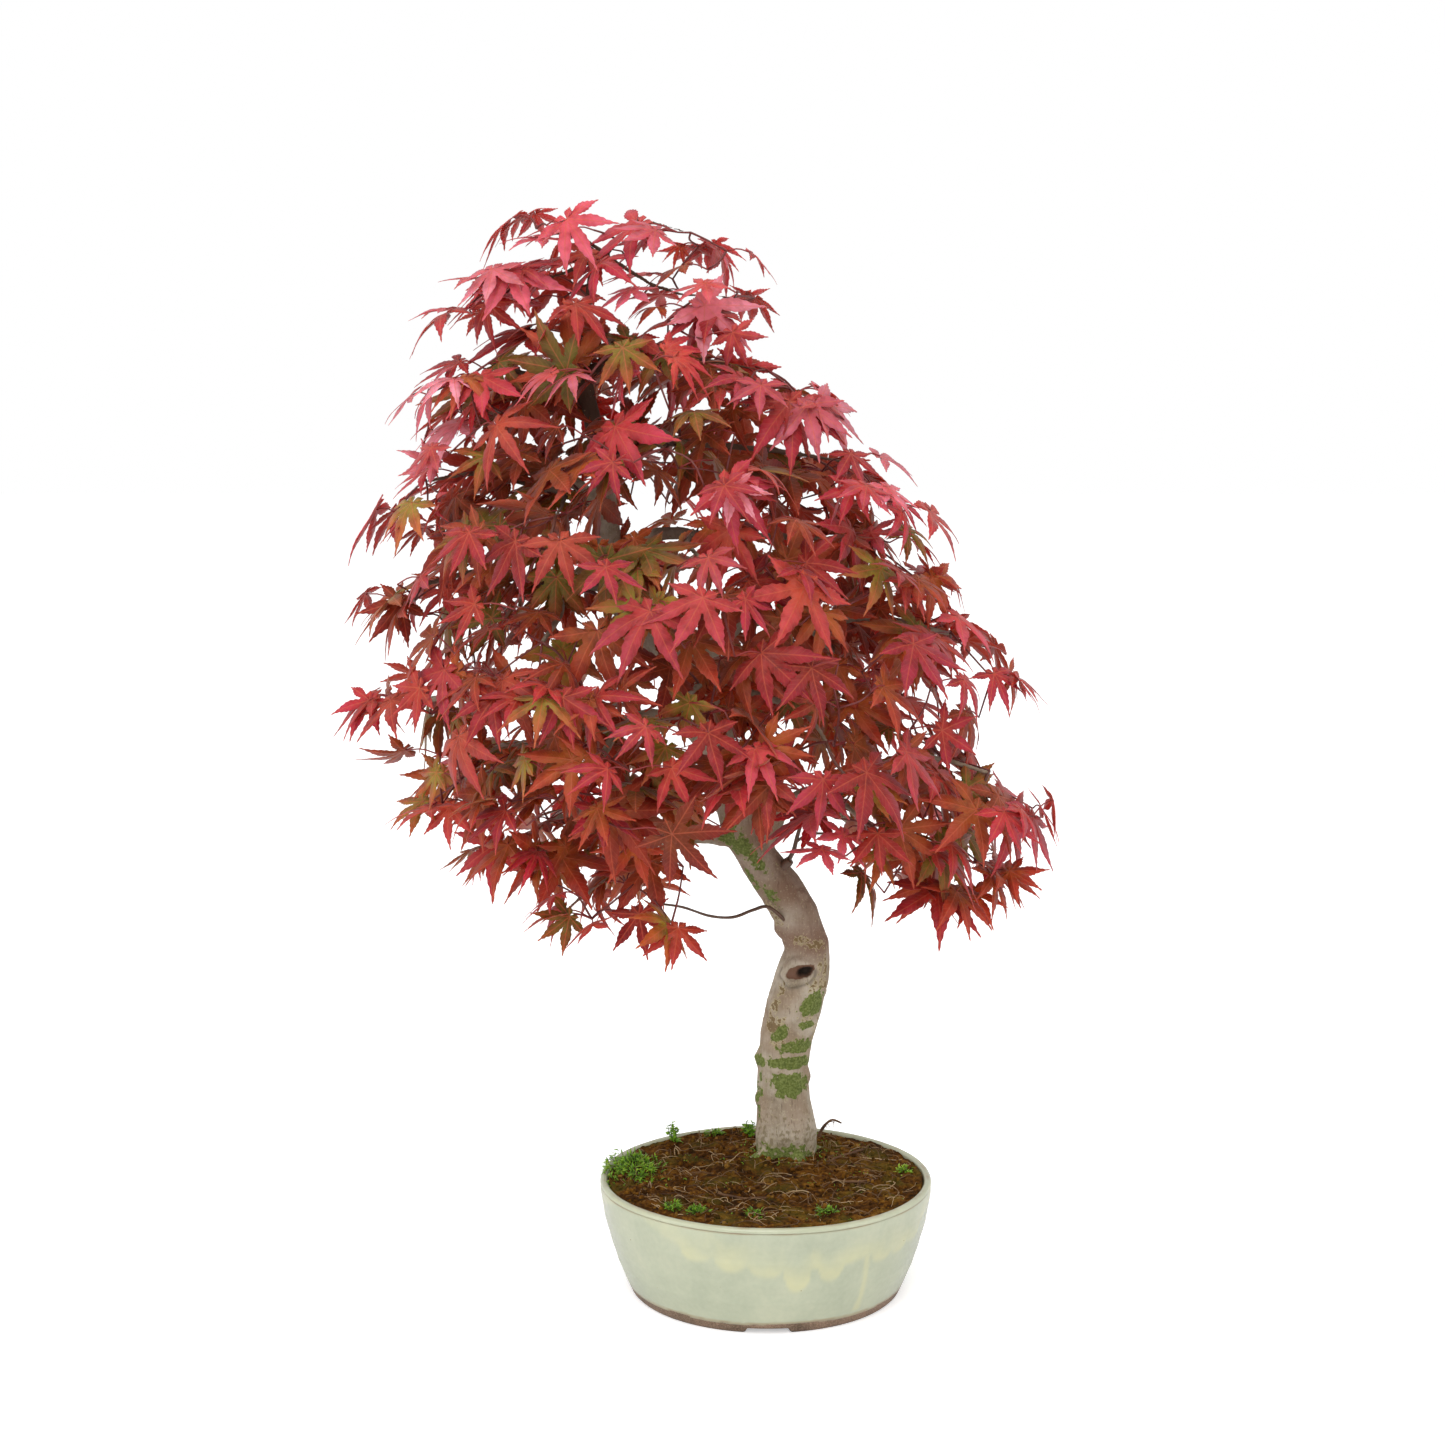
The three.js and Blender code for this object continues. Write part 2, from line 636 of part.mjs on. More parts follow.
// Bearing, share of the way out to the wall, and length of each small tuft.
const TUFTS = [
  [112, 0.9, 12], [228, 0.86, 10], [239, 0.82, 13],
  [264, 0.74, 10], [296, 0.8, 11], [4, 0.88, 10],
];
TUFTS.forEach(([bearing, share, size], i) => {
  const sides = [size, size * 0.7];
  add(`moss_tuft_${i + 1}`, cushion(onSoil(bearing, share), sides, bearing + 90, TUFT_HEIGHT), MOSS);
});
add('weed_sprig', weedSolid(onSoil(131, 0.9), WEED_HEIGHT, 3), MOSS);
add('weed_at_trunk', weedSolid(onSoil(98, 0.78), WEED_HEIGHT * 0.7, 2), MOSS);

const LOOSE_ROOTS = [
  [[36, 0.8, 0], [34, 0.66, 0.4], [30, 0.5, 0], [22, 0.34, 0]],
  [[350, 0.42, 0], [346, 0.56, 0.6], [352, 0.7, 0], [358, 0.76, 0]],
  [[226, 0.44, 0], [250, 0.44, 0.4], [276, 0.4, 0], [292, 0.5, 0]],
];
LOOSE_ROOTS.forEach((points, i) => add(`loose_root_${i + 1}`, strand(points, LOOSE_ROOT_RADIUS), ROOTLET));
const DEAD_TWIG = [[64, 0.84, -2], [62, 0.86, 6], [60, 0.92, 10], [57, 0.95, 8]];
add('dead_twig', strand(DEAD_TWIG, DEAD_TWIG_RADIUS), BARK);
add('twig_stub', strand([[74, 0.84, -2], [73, 0.85, 4], [72, 0.84, 9]], DEAD_TWIG_RADIUS), BARK);

export default tree;
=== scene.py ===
"""A Japanese maple bonsai in a celadon glazed pot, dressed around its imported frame.

Every length is named in millimetres and turned to metres where a mesh is made. The frame gives the
places: the pot, the soil, the wood and one thin solid for each spray of leaves. The classes below
turn each of them into the real thing: thrown and glazed stoneware, crumbly soil with rootlets,
smooth grey bark with algae, and single lobed leaves on twigs.
"""
import itertools
import logging
import math
from dataclasses import dataclass, field
from enum import Enum
from typing import Callable, Sequence

import bpy
import numpy as np
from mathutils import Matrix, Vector
from mathutils.bvhtree import BVHTree
from mathutils.kdtree import KDTree


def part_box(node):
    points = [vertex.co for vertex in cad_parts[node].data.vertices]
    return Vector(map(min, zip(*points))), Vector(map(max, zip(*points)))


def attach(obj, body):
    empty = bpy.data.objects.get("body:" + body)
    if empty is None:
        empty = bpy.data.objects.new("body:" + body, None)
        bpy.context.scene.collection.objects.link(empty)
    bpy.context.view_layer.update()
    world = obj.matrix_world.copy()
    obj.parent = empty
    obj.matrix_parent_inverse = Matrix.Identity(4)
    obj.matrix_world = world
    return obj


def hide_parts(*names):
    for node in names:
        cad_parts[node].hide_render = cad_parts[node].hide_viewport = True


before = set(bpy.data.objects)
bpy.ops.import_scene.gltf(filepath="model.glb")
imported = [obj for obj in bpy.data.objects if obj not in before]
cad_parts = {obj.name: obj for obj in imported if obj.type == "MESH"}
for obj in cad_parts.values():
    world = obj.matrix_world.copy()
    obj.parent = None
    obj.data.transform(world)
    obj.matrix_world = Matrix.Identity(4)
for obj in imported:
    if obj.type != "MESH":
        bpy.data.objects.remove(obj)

LOG = logging.getLogger("maple")
MM = 0.001
UP = np.array([0.0, 0.0, 1.0])
BODY = "root"
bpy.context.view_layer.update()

Array = np.ndarray
Place = tuple[float, float, float]
Places = tuple[Place, ...]
Node = bpy.types.Node
Tree = bpy.types.NodeTree
Object = bpy.types.Object
Material = bpy.types.Material
Socket = bpy.types.NodeSocket


# ------------------------------------------------------------------ small tools


def linear(colour: str) -> tuple[float, float, float, float]:
    """Turn an sRGB hex colour into the linear one that a shader reads.

    Args:
        colour: six hex digits with a leading #.

    Returns:
        Linear red, green, blue and an alpha of 1.
    """
    parts = [int(colour[i : i + 2], 16) / 255 for i in (1, 3, 5)]
    curve = [c / 12.92 if c <= 0.04045 else ((c + 0.055) / 1.055) ** 2.4 for c in parts]
    return (curve[0], curve[1], curve[2], 1.0)


def add_node(tree: Tree, kind: str, inputs: dict | None = None, stops: Sequence = (), **settings) -> Node:
    """Add a shader node with its settings and its links.

    Args:
        tree: the node tree that gets the node.
        kind: the node's type without its "ShaderNode" prefix.
        inputs: a constant or another node's output for each named or numbered input.
        stops: place and hex colour pairs, for a colour ramp.
        **settings: the node's own properties.

    Returns:
        The new node.
    """
    node = tree.nodes.new("ShaderNode" + kind)
    for name, value in settings.items():
        setattr(node, name, value)
    for socket, value in (inputs or {}).items():
        if isinstance(value, bpy.types.NodeSocket):
            tree.links.new(value, node.inputs[socket])
        else:
            node.inputs[socket].default_value = value
    if stops:
        ramp = node.color_ramp.elements
        while len(ramp) < len(stops):
            ramp.new(1.0)
        for element, (place, colour) in zip(ramp, stops):
            element.position, element.color = place, linear(colour)
    return node


def unit(vectors: Array) -> Array:
    """Scale vectors, along their last axis, to a length of one."""
    return vectors / np.maximum(np.linalg.norm(vectors, axis=-1, keepdims=True), 1e-9)


def smooth_step(low: float, high: float, value: Array) -> Array:
    """Rise smoothly from 0 at low to 1 at high."""
    share = np.clip((value - low) / (high - low), 0.0, 1.0)
    return share * share * (3.0 - 2.0 * share)


def noise(points: Array, size: float, seed: int = 0) -> Array:
    """Smooth random values for points, the same on every run.

    Args:
        points: coordinates, one row each.
        size: distance over which the value changes, in the points' own unit.
        seed: picks one field of values.

    Returns:
        A value from -1 to 1 for each point.
    """
    scaled = np.asarray(points, float) / size + seed * 17.31
    cell = np.floor(scaled).astype(np.int64)
    part = scaled - cell
    part = part * part * (3.0 - 2.0 * part)
    total = np.zeros(len(scaled))
    for corner in itertools.product((0, 1), repeat=3):
        key = ((cell + corner) * (73856093, 19349663, 83492791)).sum(axis=1) + seed * 2654435
        key = (key ^ (key >> 13)) * 1274126177 & 0xFFFFFFFF
        value = ((key ^ (key >> 16)) & 0xFFFF) / 32767.5 - 1.0
        total += value * np.where(corner, part, 1.0 - part).prod(axis=1)
    return total


def mesh_points(mesh: bpy.types.Mesh) -> Array:
    """The points of a mesh in millimetres, one row each."""
    flat = np.empty(len(mesh.vertices) * 3, np.float32)
    mesh.vertices.foreach_get("co", flat)
    return flat.reshape(-1, 3).astype(float) / MM


def set_points(mesh: bpy.types.Mesh, points: Array) -> None:
    """Move the points of a mesh to new places, given in millimetres."""
    mesh.vertices.foreach_set("co", (points * MM).astype(np.float32).ravel())
    mesh.update()


def keep_values(mesh: bpy.types.Mesh, **values: Array) -> None:
    """Store one number or colour for each point of a mesh, by name, for a shader to read."""
    for name, data in values.items():
        kind, key = ("FLOAT", "value") if data.ndim == 1 else ("FLOAT_COLOR", "color")
        layer = mesh.attributes.new(name, kind, "POINT")
        layer.data.foreach_set(key, data.astype(np.float32).ravel())


def finish_piece(piece: Object, material: Material, replaces: Sequence[str] = ()) -> Object:
    """Dress a piece, make it ride on the body and hide the frame nodes that it stands for.

    Args:
        piece: the new object.
        material: its finish.
        replaces: names of the frame nodes that it hides.

    Returns:
        The same object.
    """
    if piece.data.materials:
        piece.data.materials[0] = material
    else:
        piece.data.materials.append(material)
    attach(piece, BODY)
    if replaces:
        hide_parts(*replaces)
    return piece


class Shape:
    """A mesh that grows part by part, in millimetres, with values kept for its points."""

    def __init__(self) -> None:
        """Start empty."""
        self.points: list[Array] = []
        self.faces: list[Array] = []
        self.values: dict[str, list[Array]] = {}
        self.count = 0

    def add(self, points: Array, faces: Sequence[Array], **values: Array | float | Sequence[float]) -> None:
        """Add one part.

        Args:
            points: its points, one row each.
            faces: arrays of corner numbers, one array for triangles and one for quads.
            **values: one value for each point, or a single one for all of them.
        """
        points = np.asarray(points, float)
        self.points.append(points)
        self.faces.extend(np.asarray(group) + self.count for group in faces if len(group))
        self.count += len(points)
        for name, value in values.items():
            value = np.asarray(value, float)
            if value.ndim == 0 or (value.ndim == 1 and len(value) == 4 and len(points) != 4):
                value = np.broadcast_to(value, (len(points), *value.shape))
            self.values.setdefault(name, []).append(value)

    def add_tube(self, path: Array, radii: Array, sides: int, **values: Array | float) -> None:
        """Add a closed round tube along a path."""
        points, faces = tube(path, radii, sides)
        self.add(points, faces, **values)

    def build(self, name: str) -> Object:
        """Make the object, smooth shaded, and put it in the scene."""
        mesh = bpy.data.meshes.new(name)
        points = np.concatenate(self.points)
        mesh.vertices.add(len(points))
        sizes = np.concatenate([np.full(len(group), group.shape[1]) for group in self.faces])
        corners = np.concatenate([group.ravel() for group in self.faces])
        mesh.loops.add(len(corners))
        mesh.polygons.add(len(sizes))
        mesh.loops.foreach_set("vertex_index", corners.astype(np.int32))
        mesh.polygons.foreach_set("loop_start", np.concatenate([[0], np.cumsum(sizes)[:-1]]).astype(np.int32))
        mesh.polygons.foreach_set("use_smooth", np.ones(len(sizes), bool))
        set_points(mesh, points)
        mesh.update(calc_edges=True)
        mesh.validate()
        keep_values(mesh, **{key: np.concatenate(parts) for key, parts in self.values.items()})
        piece = bpy.data.objects.new(name, mesh)
        bpy.context.scene.collection.objects.link(piece)
        return piece


def ring_faces(rings: int, sides: int, inward: bool = False) -> list[Array]:
    """Faces of a closed skin over rings of points, with one more point to close each end.

    Args:
        rings: how many rings there are.
        sides: how many points each ring has.
        inward: turn the faces the other way round.

    Returns:
        The triangles of both ends, and the quads between the rings.
    """
    ring, spoke = np.meshgrid(np.arange(rings - 1), np.arange(sides), indexing="ij")
    here, onward = ring * sides + spoke, ring * sides + (spoke + 1) % sides
    quads = np.stack([here, onward, onward + sides, here + sides], -1).reshape(-1, 4)
    edge, after = np.arange(sides), (np.arange(sides) + 1) % sides
    last = (rings - 1) * sides
    start = np.stack([after, edge, np.full(sides, rings * sides)], -1)
    end = np.stack([last + edge, last + after, np.full(sides, rings * sides + 1)], -1)
    ends = np.concatenate([start, end])
    return [ends[:, [1, 0, 2]], quads[:, [0, 3, 2, 1]]] if inward else [ends, quads]


def tube(path: Array, radii: Array, sides: int = 6) -> tuple[Array, list[Array]]:
    """A closed round tube along a path.

    Args:
        path: centre points, one row each.
        radii: radius at each of them.
        sides: corners of the section.

    Returns:
        The points, and the faces as triangles and quads.
    """
    ahead = unit(np.gradient(path, axis=0))
    side = unit(np.cross(ahead[0], UP + 0.01) + 1e-6)
    turn = np.linspace(0.0, 2 * math.pi, sides, endpoint=False)
    rings = []
    for centre, forward, radius in zip(path, ahead, radii):
        side = unit(side - forward * (side @ forward))
        other = np.cross(forward, side)
        rings.append(centre + radius * (np.outer(np.cos(turn), side) + np.outer(np.sin(turn), other)))
    return np.concatenate([*rings, path[:1], path[-1:]]), ring_faces(len(path), sides)


def curve_through(points: Sequence[Array], steps: int) -> Array:
    """Points along a smooth curve that passes through a few given ones.

    Args:
        points: at least two places.
        steps: how many points to give back.

    Returns:
        The curve's points, one row each.
    """
    given = np.asarray(points, float)
    padded = np.concatenate([2 * given[:1] - given[1:2], given, 2 * given[-1:] - given[-2:-1]])
    share = np.linspace(0, len(given) - 1 - 1e-6, steps)
    piece = share.astype(int)
    t = (share - piece)[:, None]
    p0, p1, p2, p3 = (padded[piece + i] for i in range(4))
    return 0.5 * (
        2 * p1 + (p2 - p0) * t + (2 * p0 - 5 * p1 + 4 * p2 - p3) * t**2 + (3 * p1 - p0 - 3 * p2 + p3) * t**3
    )


# ------------------------------------------------------------------ finishes


@dataclass
class Recipe:
    """A material in the making: its node tree and its one principled surface."""

    tree: Tree
    surface: Node

    def put(self, **constants: float | tuple) -> None:
        """Set constants on the surface's own sockets, with _ for each space in a socket's name."""
        for name, value in constants.items():
            self.surface.inputs[name.replace("_", " ")].default_value = value

    def place(self) -> Socket:
        """The place on the object, in metres, that patterns are laid out by."""
        return add_node(self.tree, "TexCoord").outputs["Object"]

    def value(self, name: str) -> Socket:
        """A number that the mesh keeps for each of its points."""
        return add_node(self.tree, "Attribute", attribute_name=name).outputs["Fac"]

    def grain(self, size: float, detail: float = 3.0) -> Socket:
        """Noise whose blotches are size millimetres across."""
        inputs = {"Vector": self.place(), "Scale": 1 / (size * MM), "Detail": detail}
        return add_node(self.tree, "TexNoise", inputs).outputs["Fac"]

    def ramp(self, value: Socket, *stops: tuple[float, str]) -> Socket:
        """Colours along a value."""
        return add_node(self.tree, "ValToRGB", {"Fac": value}, stops).outputs["Color"]

    def blend(
        self, factor: Socket | float, first: Socket, second: Socket | tuple, mode: str = "MIX"
    ) -> Socket:
        """One colour over another."""
        inputs = {0: factor, 6: first, 7: second}
        return add_node(self.tree, "Mix", inputs, data_type="RGBA", blend_type=mode).outputs[2]

    def over(self, colour: Socket, amount: Socket, layer: str, most: float = 1.0) -> Socket:
        """A plain colour laid over another, as thickly as amount times most."""
        amount = amount if most == 1.0 else self.sum((amount, most))
        return self.blend(amount, colour, linear(layer))

    def band(self, value: Socket, low: float, high: float, start: float = 0.0, end: float = 1.0) -> Socket:
        """A smooth rise from start to end while a value goes from low to high."""
        inputs = {"Value": value, "From Min": low, "From Max": high, "To Min": start, "To Max": end}
        return add_node(self.tree, "MapRange", inputs, interpolation_type="SMOOTHSTEP").outputs["Result"]

    def sum(self, *terms: tuple[Socket, Socket | float]) -> Socket:
        """Values added up, each with its weight."""
        total = 0.0
        for value, weight in terms:
            node = add_node(self.tree, "Math", {0: value, 1: weight, 2: total}, operation="MULTIPLY_ADD")
            total = node.outputs[0]
        return total

    def feed(self, value: Socket, socket: str = "Base Color") -> None:
        """Let a pattern drive a socket of the surface."""
        self.tree.links.new(value, self.surface.inputs[socket])

    def relief(self, height: Socket, depth: float, strength: float = 1.0) -> None:
        """Bump of a real depth in millimetres."""
        inputs = {"Height": height, "Distance": depth * MM, "Strength": strength}
        self.feed(add_node(self.tree, "Bump", inputs).outputs["Normal"], "Normal")


@dataclass(frozen=True)
class Finish:
    """What every finish has: a name and the constants of one principled surface."""

    name: str
    roughness: float
    ior: float = 1.5
    metallic: float = 0.0
    mirror: float = 0.5

    def build(self) -> Material:
        """Make the material: its constants first, then its patterns."""
        material = bpy.data.materials.new(self.name)
        material.use_nodes = True
        recipe = Recipe(material.node_tree, material.node_tree.nodes["Principled BSDF"])
        recipe.put(Roughness=self.roughness, IOR=self.ior, Metallic=self.metallic)
        recipe.put(Specular_IOR_Level=self.mirror)
        self.pattern(recipe)
        return material

    def pattern(self, mix: Recipe) -> None:
        """Lay the finish's own patterns over its constants."""
        raise NotImplementedError


@dataclass(frozen=True)
class MapleLeaf(Finish):
    """Living maple leaf: a thin waxy blade with raised paler ribs.

    It gives a satin pink sheen in the light, and glows deep red where light comes through from behind.
    """

    name: str = "maple_leaf"
    roughness: float = 0.44
    ior: float = 1.45
    mirror: float = 0.28
    rib_width: float = 0.42
    glow: float = 0.45
    glow_reach: float = 1.5
    vein_spacing: float = 2.4
    mottle_size: float = 7.0

    def pattern(self, mix: Recipe) -> None:
        """Lay mottle, side veins and ribs over each leaf's own colour, duller underneath."""
        mix.put(Subsurface_Weight=self.glow, Subsurface_Radius=(1.0, 0.16, 0.08))
        mix.put(Subsurface_Scale=self.glow_reach * MM)
        mix.put(Sheen_Weight=0.16, Sheen_Roughness=0.4, Sheen_Tint=linear("#ffc4cc"))
        own = add_node(mix.tree, "Attribute", attribute_name="leaf_colour").outputs["Color"]
        across, along = mix.value("rib_mm"), mix.value("run_mm")
        ribs = mix.band(across, self.rib_width * 0.35, self.rib_width * 1.3, 1.0, 0.0)
        slant = mix.sum((along, 0.7), (across, -0.75))
        folded = add_node(mix.tree, "Math", {0: slant, 1: self.vein_spacing / 2}, operation="PINGPONG")
        veins = mix.band(folded.outputs[0], 0.05, 0.4, 1.0, 0.0)
        mottle = mix.grain(self.mottle_size, 4.0)
        patchy = mix.ramp(mottle, (0.3, "#b99a90"), (0.55, "#f2eeec"), (0.75, "#ffffff"))
        colour = mix.blend(0.8, own, patchy, "MULTIPLY")
        colour = mix.over(colour, veins, "#c0684c", 0.12)
        colour = mix.over(colour, ribs, "#c86040", 0.4)
        dull = mix.blend(0.35, colour, linear("#b4684a"))
        mix.feed(mix.blend(mix.value("under"), colour, dull))
        mix.relief(mix.sum((ribs, 0.6), (veins, 0.35), (mottle, 0.5)), 0.25, 0.8)


@dataclass(frozen=True)
class YoungShoot(Finish):
    """This year's maple shoots and leaf stalks: smooth, waxy and dark red, browner where older."""

    name: str = "maple_shoot"
    roughness: float = 0.45

    def pattern(self, mix: Recipe) -> None:
        """Turn red to brown with age."""
        age = mix.sum((mix.value("age"), 0.8), (mix.grain(4.0), 0.2))
        mix.feed(mix.ramp(age, (0.1, "#8e2c2a"), (0.4, "#6b2622"), (0.7, "#58392b"), (1.0, "#6d5642")))
        mix.relief(mix.grain(0.8), 0.15)


@dataclass(frozen=True)
class MapleBark(Finish):
    """Smooth grey maple bark with fine upright cracks, and flakes of dry green algae over it.

    It is dull all over, and lets the grey, the warm brown and the green read as separate skins.
    """

    name: str = "maple_bark"
    roughness: float = 0.78
    mirror: float = 0.3
    streak_width: float = 1.1
    streak_length: float = 10.0

    def pattern(self, mix: Recipe) -> None:
        """Lay pink and warm patches, cracks, specks, stains, algae and the wound over grey bark, with painted
        shade in the wound's hollow.
        """
        sizes = (self.streak_width, self.streak_width, self.streak_length)
        stretch = tuple(1 / (size * MM) for size in sizes)
        upright = add_node(mix.tree, "Mapping", {"Vector": mix.place(), "Scale": stretch}).outputs["Vector"]
        inputs = {"Vector": upright, "Scale": 1.0, "Detail": 4.0}
        streaks = add_node(mix.tree, "TexNoise", inputs).outputs["Fac"]
        blotches, specks = mix.grain(14.0, 4.0), mix.grain(1.3, 2.0)
        tone = mix.sum((blotches, 0.62), (streaks, 0.2), (mix.grain(3.0, 4.0), 0.18))
        colour = mix.ramp(tone, (0.3, "#80725e"), (0.45, "#a49682"), (0.55, "#b7aa98"), (0.7, "#cdc2b0"))
        colour = mix.over(colour, mix.band(mix.grain(30.0, 1.0), 0.4, 0.65, 0.0, 0.45), "#93765c")
        crack = mix.band(streaks, 0.36, 0.28)
        colour = mix.over(colour, crack, "#5b4635", 0.35)
        colour = mix.over(colour, mix.value("warm"), "#7d5a48", 0.75)
        pale = mix.band(mix.sum((mix.value("rough"), 0.08), (specks, 1.0)), 0.6, 0.68)
        colour = mix.over(colour, pale, "#d2c6a2", 0.3)
        crusty = mix.sum((mix.grain(2.6, 6.0), 0.6), (streaks, 0.4))
        dots = mix.sum((mix.value("rough"), 0.1), (crusty, 1.0))
        colour = mix.over(colour, mix.band(dots, 0.61, 0.66, 0.0, 0.6), "#6a5c34")
        colour = mix.over(colour, mix.value("young"), "#5c4335")
        flakes = mix.grain(2.8, 6.0)
        crumbling = mix.sum((mix.value("stain"), 0.75), (flakes, 1.2), (mix.grain(1.6, 3.0), 0.4))
        stain = mix.band(crumbling, 1.12, 1.17)
        colour = mix.over(colour, mix.band(crumbling, 1.02, 1.1, 0.0, 0.5), "#c6bb8e")
        colour = mix.over(colour, stain, "#6d5230", 0.8)
        growth = mix.sum((mix.value("algae"), 1.0), (flakes, 1.2), (mix.grain(5.0, 5.0), 0.3))
        crust = mix.band(growth, 1.1, 1.13)
        green = mix.ramp(specks, (0.3, "#525c28"), (0.5, "#687436"), (0.7, "#868e50"))
        colour = mix.over(colour, mix.band(growth, 0.98, 1.11, 0.0, 0.45), "#a09a6c")
        colour = mix.blend(crust, colour, green)
        scar = mix.sum((mix.value("scar"), 1.0), (flakes, 0.6))
        colour = mix.over(colour, mix.band(scar, 0.62, 0.82, 0.0, 0.9), "#6a4430")
        # Painted shade: the wound's hole and the groove below its rim are darkened to near black.
        mix.feed(mix.over(colour, mix.value("hollow_shade"), "#22170f"))
        height = mix.sum((streaks, 0.6), (specks, 0.25), (blotches, 0.5), (crack, -0.4), (crust, 0.25))
        mix.relief(height, 0.55)


@dataclass(frozen=True)
class CeladonGlaze(Finish):
    """Stoneware dipped in pale celadon, with a creamy second glaze that ran down: deep and glossy.

    The bare clay of the foot is coarse and matt, and the clay shows brown where the glaze is thin.
    """

    name: str = "celadon_glaze"
    roughness: float = 0.22
    ior: float = 1.52
    clay_roughness: float = 0.85
    speck_spacing: float = 9.0

    def pattern(self, mix: Recipe) -> None:
        """Cloud the glaze, lay the creamy run and iron specks over it, and leave the foot bare."""
        mix.put(Coat_Weight=0.25, Coat_Roughness=0.08)
        glaze, cream, thin = (mix.value(name) for name in ("glaze", "cream", "thin"))
        cloud, mist = mix.grain(26.0, 3.0), mix.grain(3.0, 4.0)
        tone = mix.sum((cloud, 0.7), (mist, 0.3))
        colour = mix.ramp(tone, (0.3, "#aeb49c"), (0.5, "#b8bda4"), (0.7, "#c2c5ab"))
        colour = mix.over(colour, cream, "#cfcda2")
        colour = mix.over(colour, thin, "#a08866")
        dot_place = {"Vector": mix.place(), "Scale": 1 / (self.speck_spacing * MM)}
        dots = add_node(mix.tree, "TexVoronoi", dot_place).outputs["Distance"]
        iron = mix.sum((mix.band(dots, 0.05, 0.03), mix.band(mist, 0.5, 0.56)))
        colour = mix.over(colour, iron, "#7b5c38")
        grit = mix.grain(0.9, 3.0)
        coarse = mix.sum((cloud, 0.5), (grit, 0.5))
        clay = mix.ramp(coarse, (0.35, "#4d3c2c"), (0.5, "#7c6450"), (0.62, "#9a7d68"))
        mix.feed(mix.blend(glaze, clay, colour))
        mix.feed(mix.band(glaze, 0.2, 0.8, self.clay_roughness, self.roughness), "Roughness")
        bare = mix.band(glaze, 0.2, 0.8, 0.35, 0.0)
        mix.relief(mix.sum((grit, bare), (cloud, 0.5), (mist, 0.05)), 0.8, 0.6)


@dataclass(frozen=True)
class PottingSoil(Finish):
    """Damp loam and peat: crumbs from near black to tan, with no shine."""

    name: str = "potting_soil"
    roughness: float = 0.95
    mirror: float = 0.12

    def pattern(self, mix: Recipe) -> None:
        """Colour the crumbs by their tone, with a green film in patches."""
        tone = mix.sum((mix.value("tone"), 0.55), (mix.grain(1.4, 6.0), 0.45))
        stops = ((0.22, "#221102"), (0.38, "#452806"), (0.5, "#613c0e"), (0.62, "#80571c"), (0.8, "#ac8a4e"))
        film = mix.band(mix.grain(20.0, 5.0), 0.5, 0.66, 0.0, 0.5)
        mix.feed(mix.over(mix.ramp(tone, *stops), film, "#5a521a"))
        mix.relief(mix.grain(0.7, 5.0), 0.6)


@dataclass(frozen=True)
class DryFibre(Finish):
    """Dead rootlets and twigs: dry, fibrous and dull, from dark brown to straw."""

    name: str = "dry_rootlet"
    roughness: float = 0.8
    dark: str = "#4b2f1b"
    mid: str = "#80603c"
    light: str = "#cdb086"

    def pattern(self, mix: Recipe) -> None:
        """Colour each fibre by its tone."""
        tone = mix.sum((mix.value("tone"), 0.7), (mix.grain(1.5), 0.3))
        mix.feed(mix.ramp(tone, (0.2, self.dark), (0.5, self.mid), (0.85, self.light)))
        mix.relief(mix.grain(0.6), 0.2)


@dataclass(frozen=True)
class GreenGrowth(Finish):
    """Fresh moss and seedling leaves: soft, thin and bright green, darker towards the ground."""

    name: str = "moss_green"
    roughness: float = 0.55
    mirror: float = 0.2

    def pattern(self, mix: Recipe) -> None:
        """Colour each little leaf by its tone."""
        mix.put(Sheen_Weight=0.1)
        tone = mix.sum((mix.value("tone"), 0.75), (mix.grain(2.0), 0.25))
        mix.feed(mix.ramp(tone, (0.1, "#3c520a"), (0.4, "#608c12"), (0.65, "#86b422"), (0.95, "#bccc40")))
        mix.relief(mix.grain(0.5), 0.1)


@dataclass(frozen=True)
class PlainFinish(Finish):
    """A moulded or drawn material with a little unevenness: dull plastic net or aluminium wire."""

    colour: str = "#808080"
    worn: str = "#909090"
    grain_size: float = 2.0
    depth: float = 0.05

    def pattern(self, mix: Recipe) -> None:
        """Vary the colour and the surface a little."""
        uneven = mix.grain(self.grain_size, 4.0)
        mix.feed(mix.ramp(uneven, (0.35, self.colour), (0.65, self.worn)))
        mix.relief(uneven, self.depth)


SCREEN_PLASTIC = PlainFinish("moulded_polythene_net", 0.5, colour="#26302c", worn="#39443f", grain_size=0.8)
CLIP_WIRE = PlainFinish("drawn_aluminium_wire", 0.35, metallic=1.0, colour="#b9bbbd", worn="#9c9ea0")
FLOOR_PAPER = PlainFinish("studio_paper", 0.9, colour="#f4f4f4", worn="#f8f8f8", grain_size=60.0)


# ------------------------------------------------------------------ studio


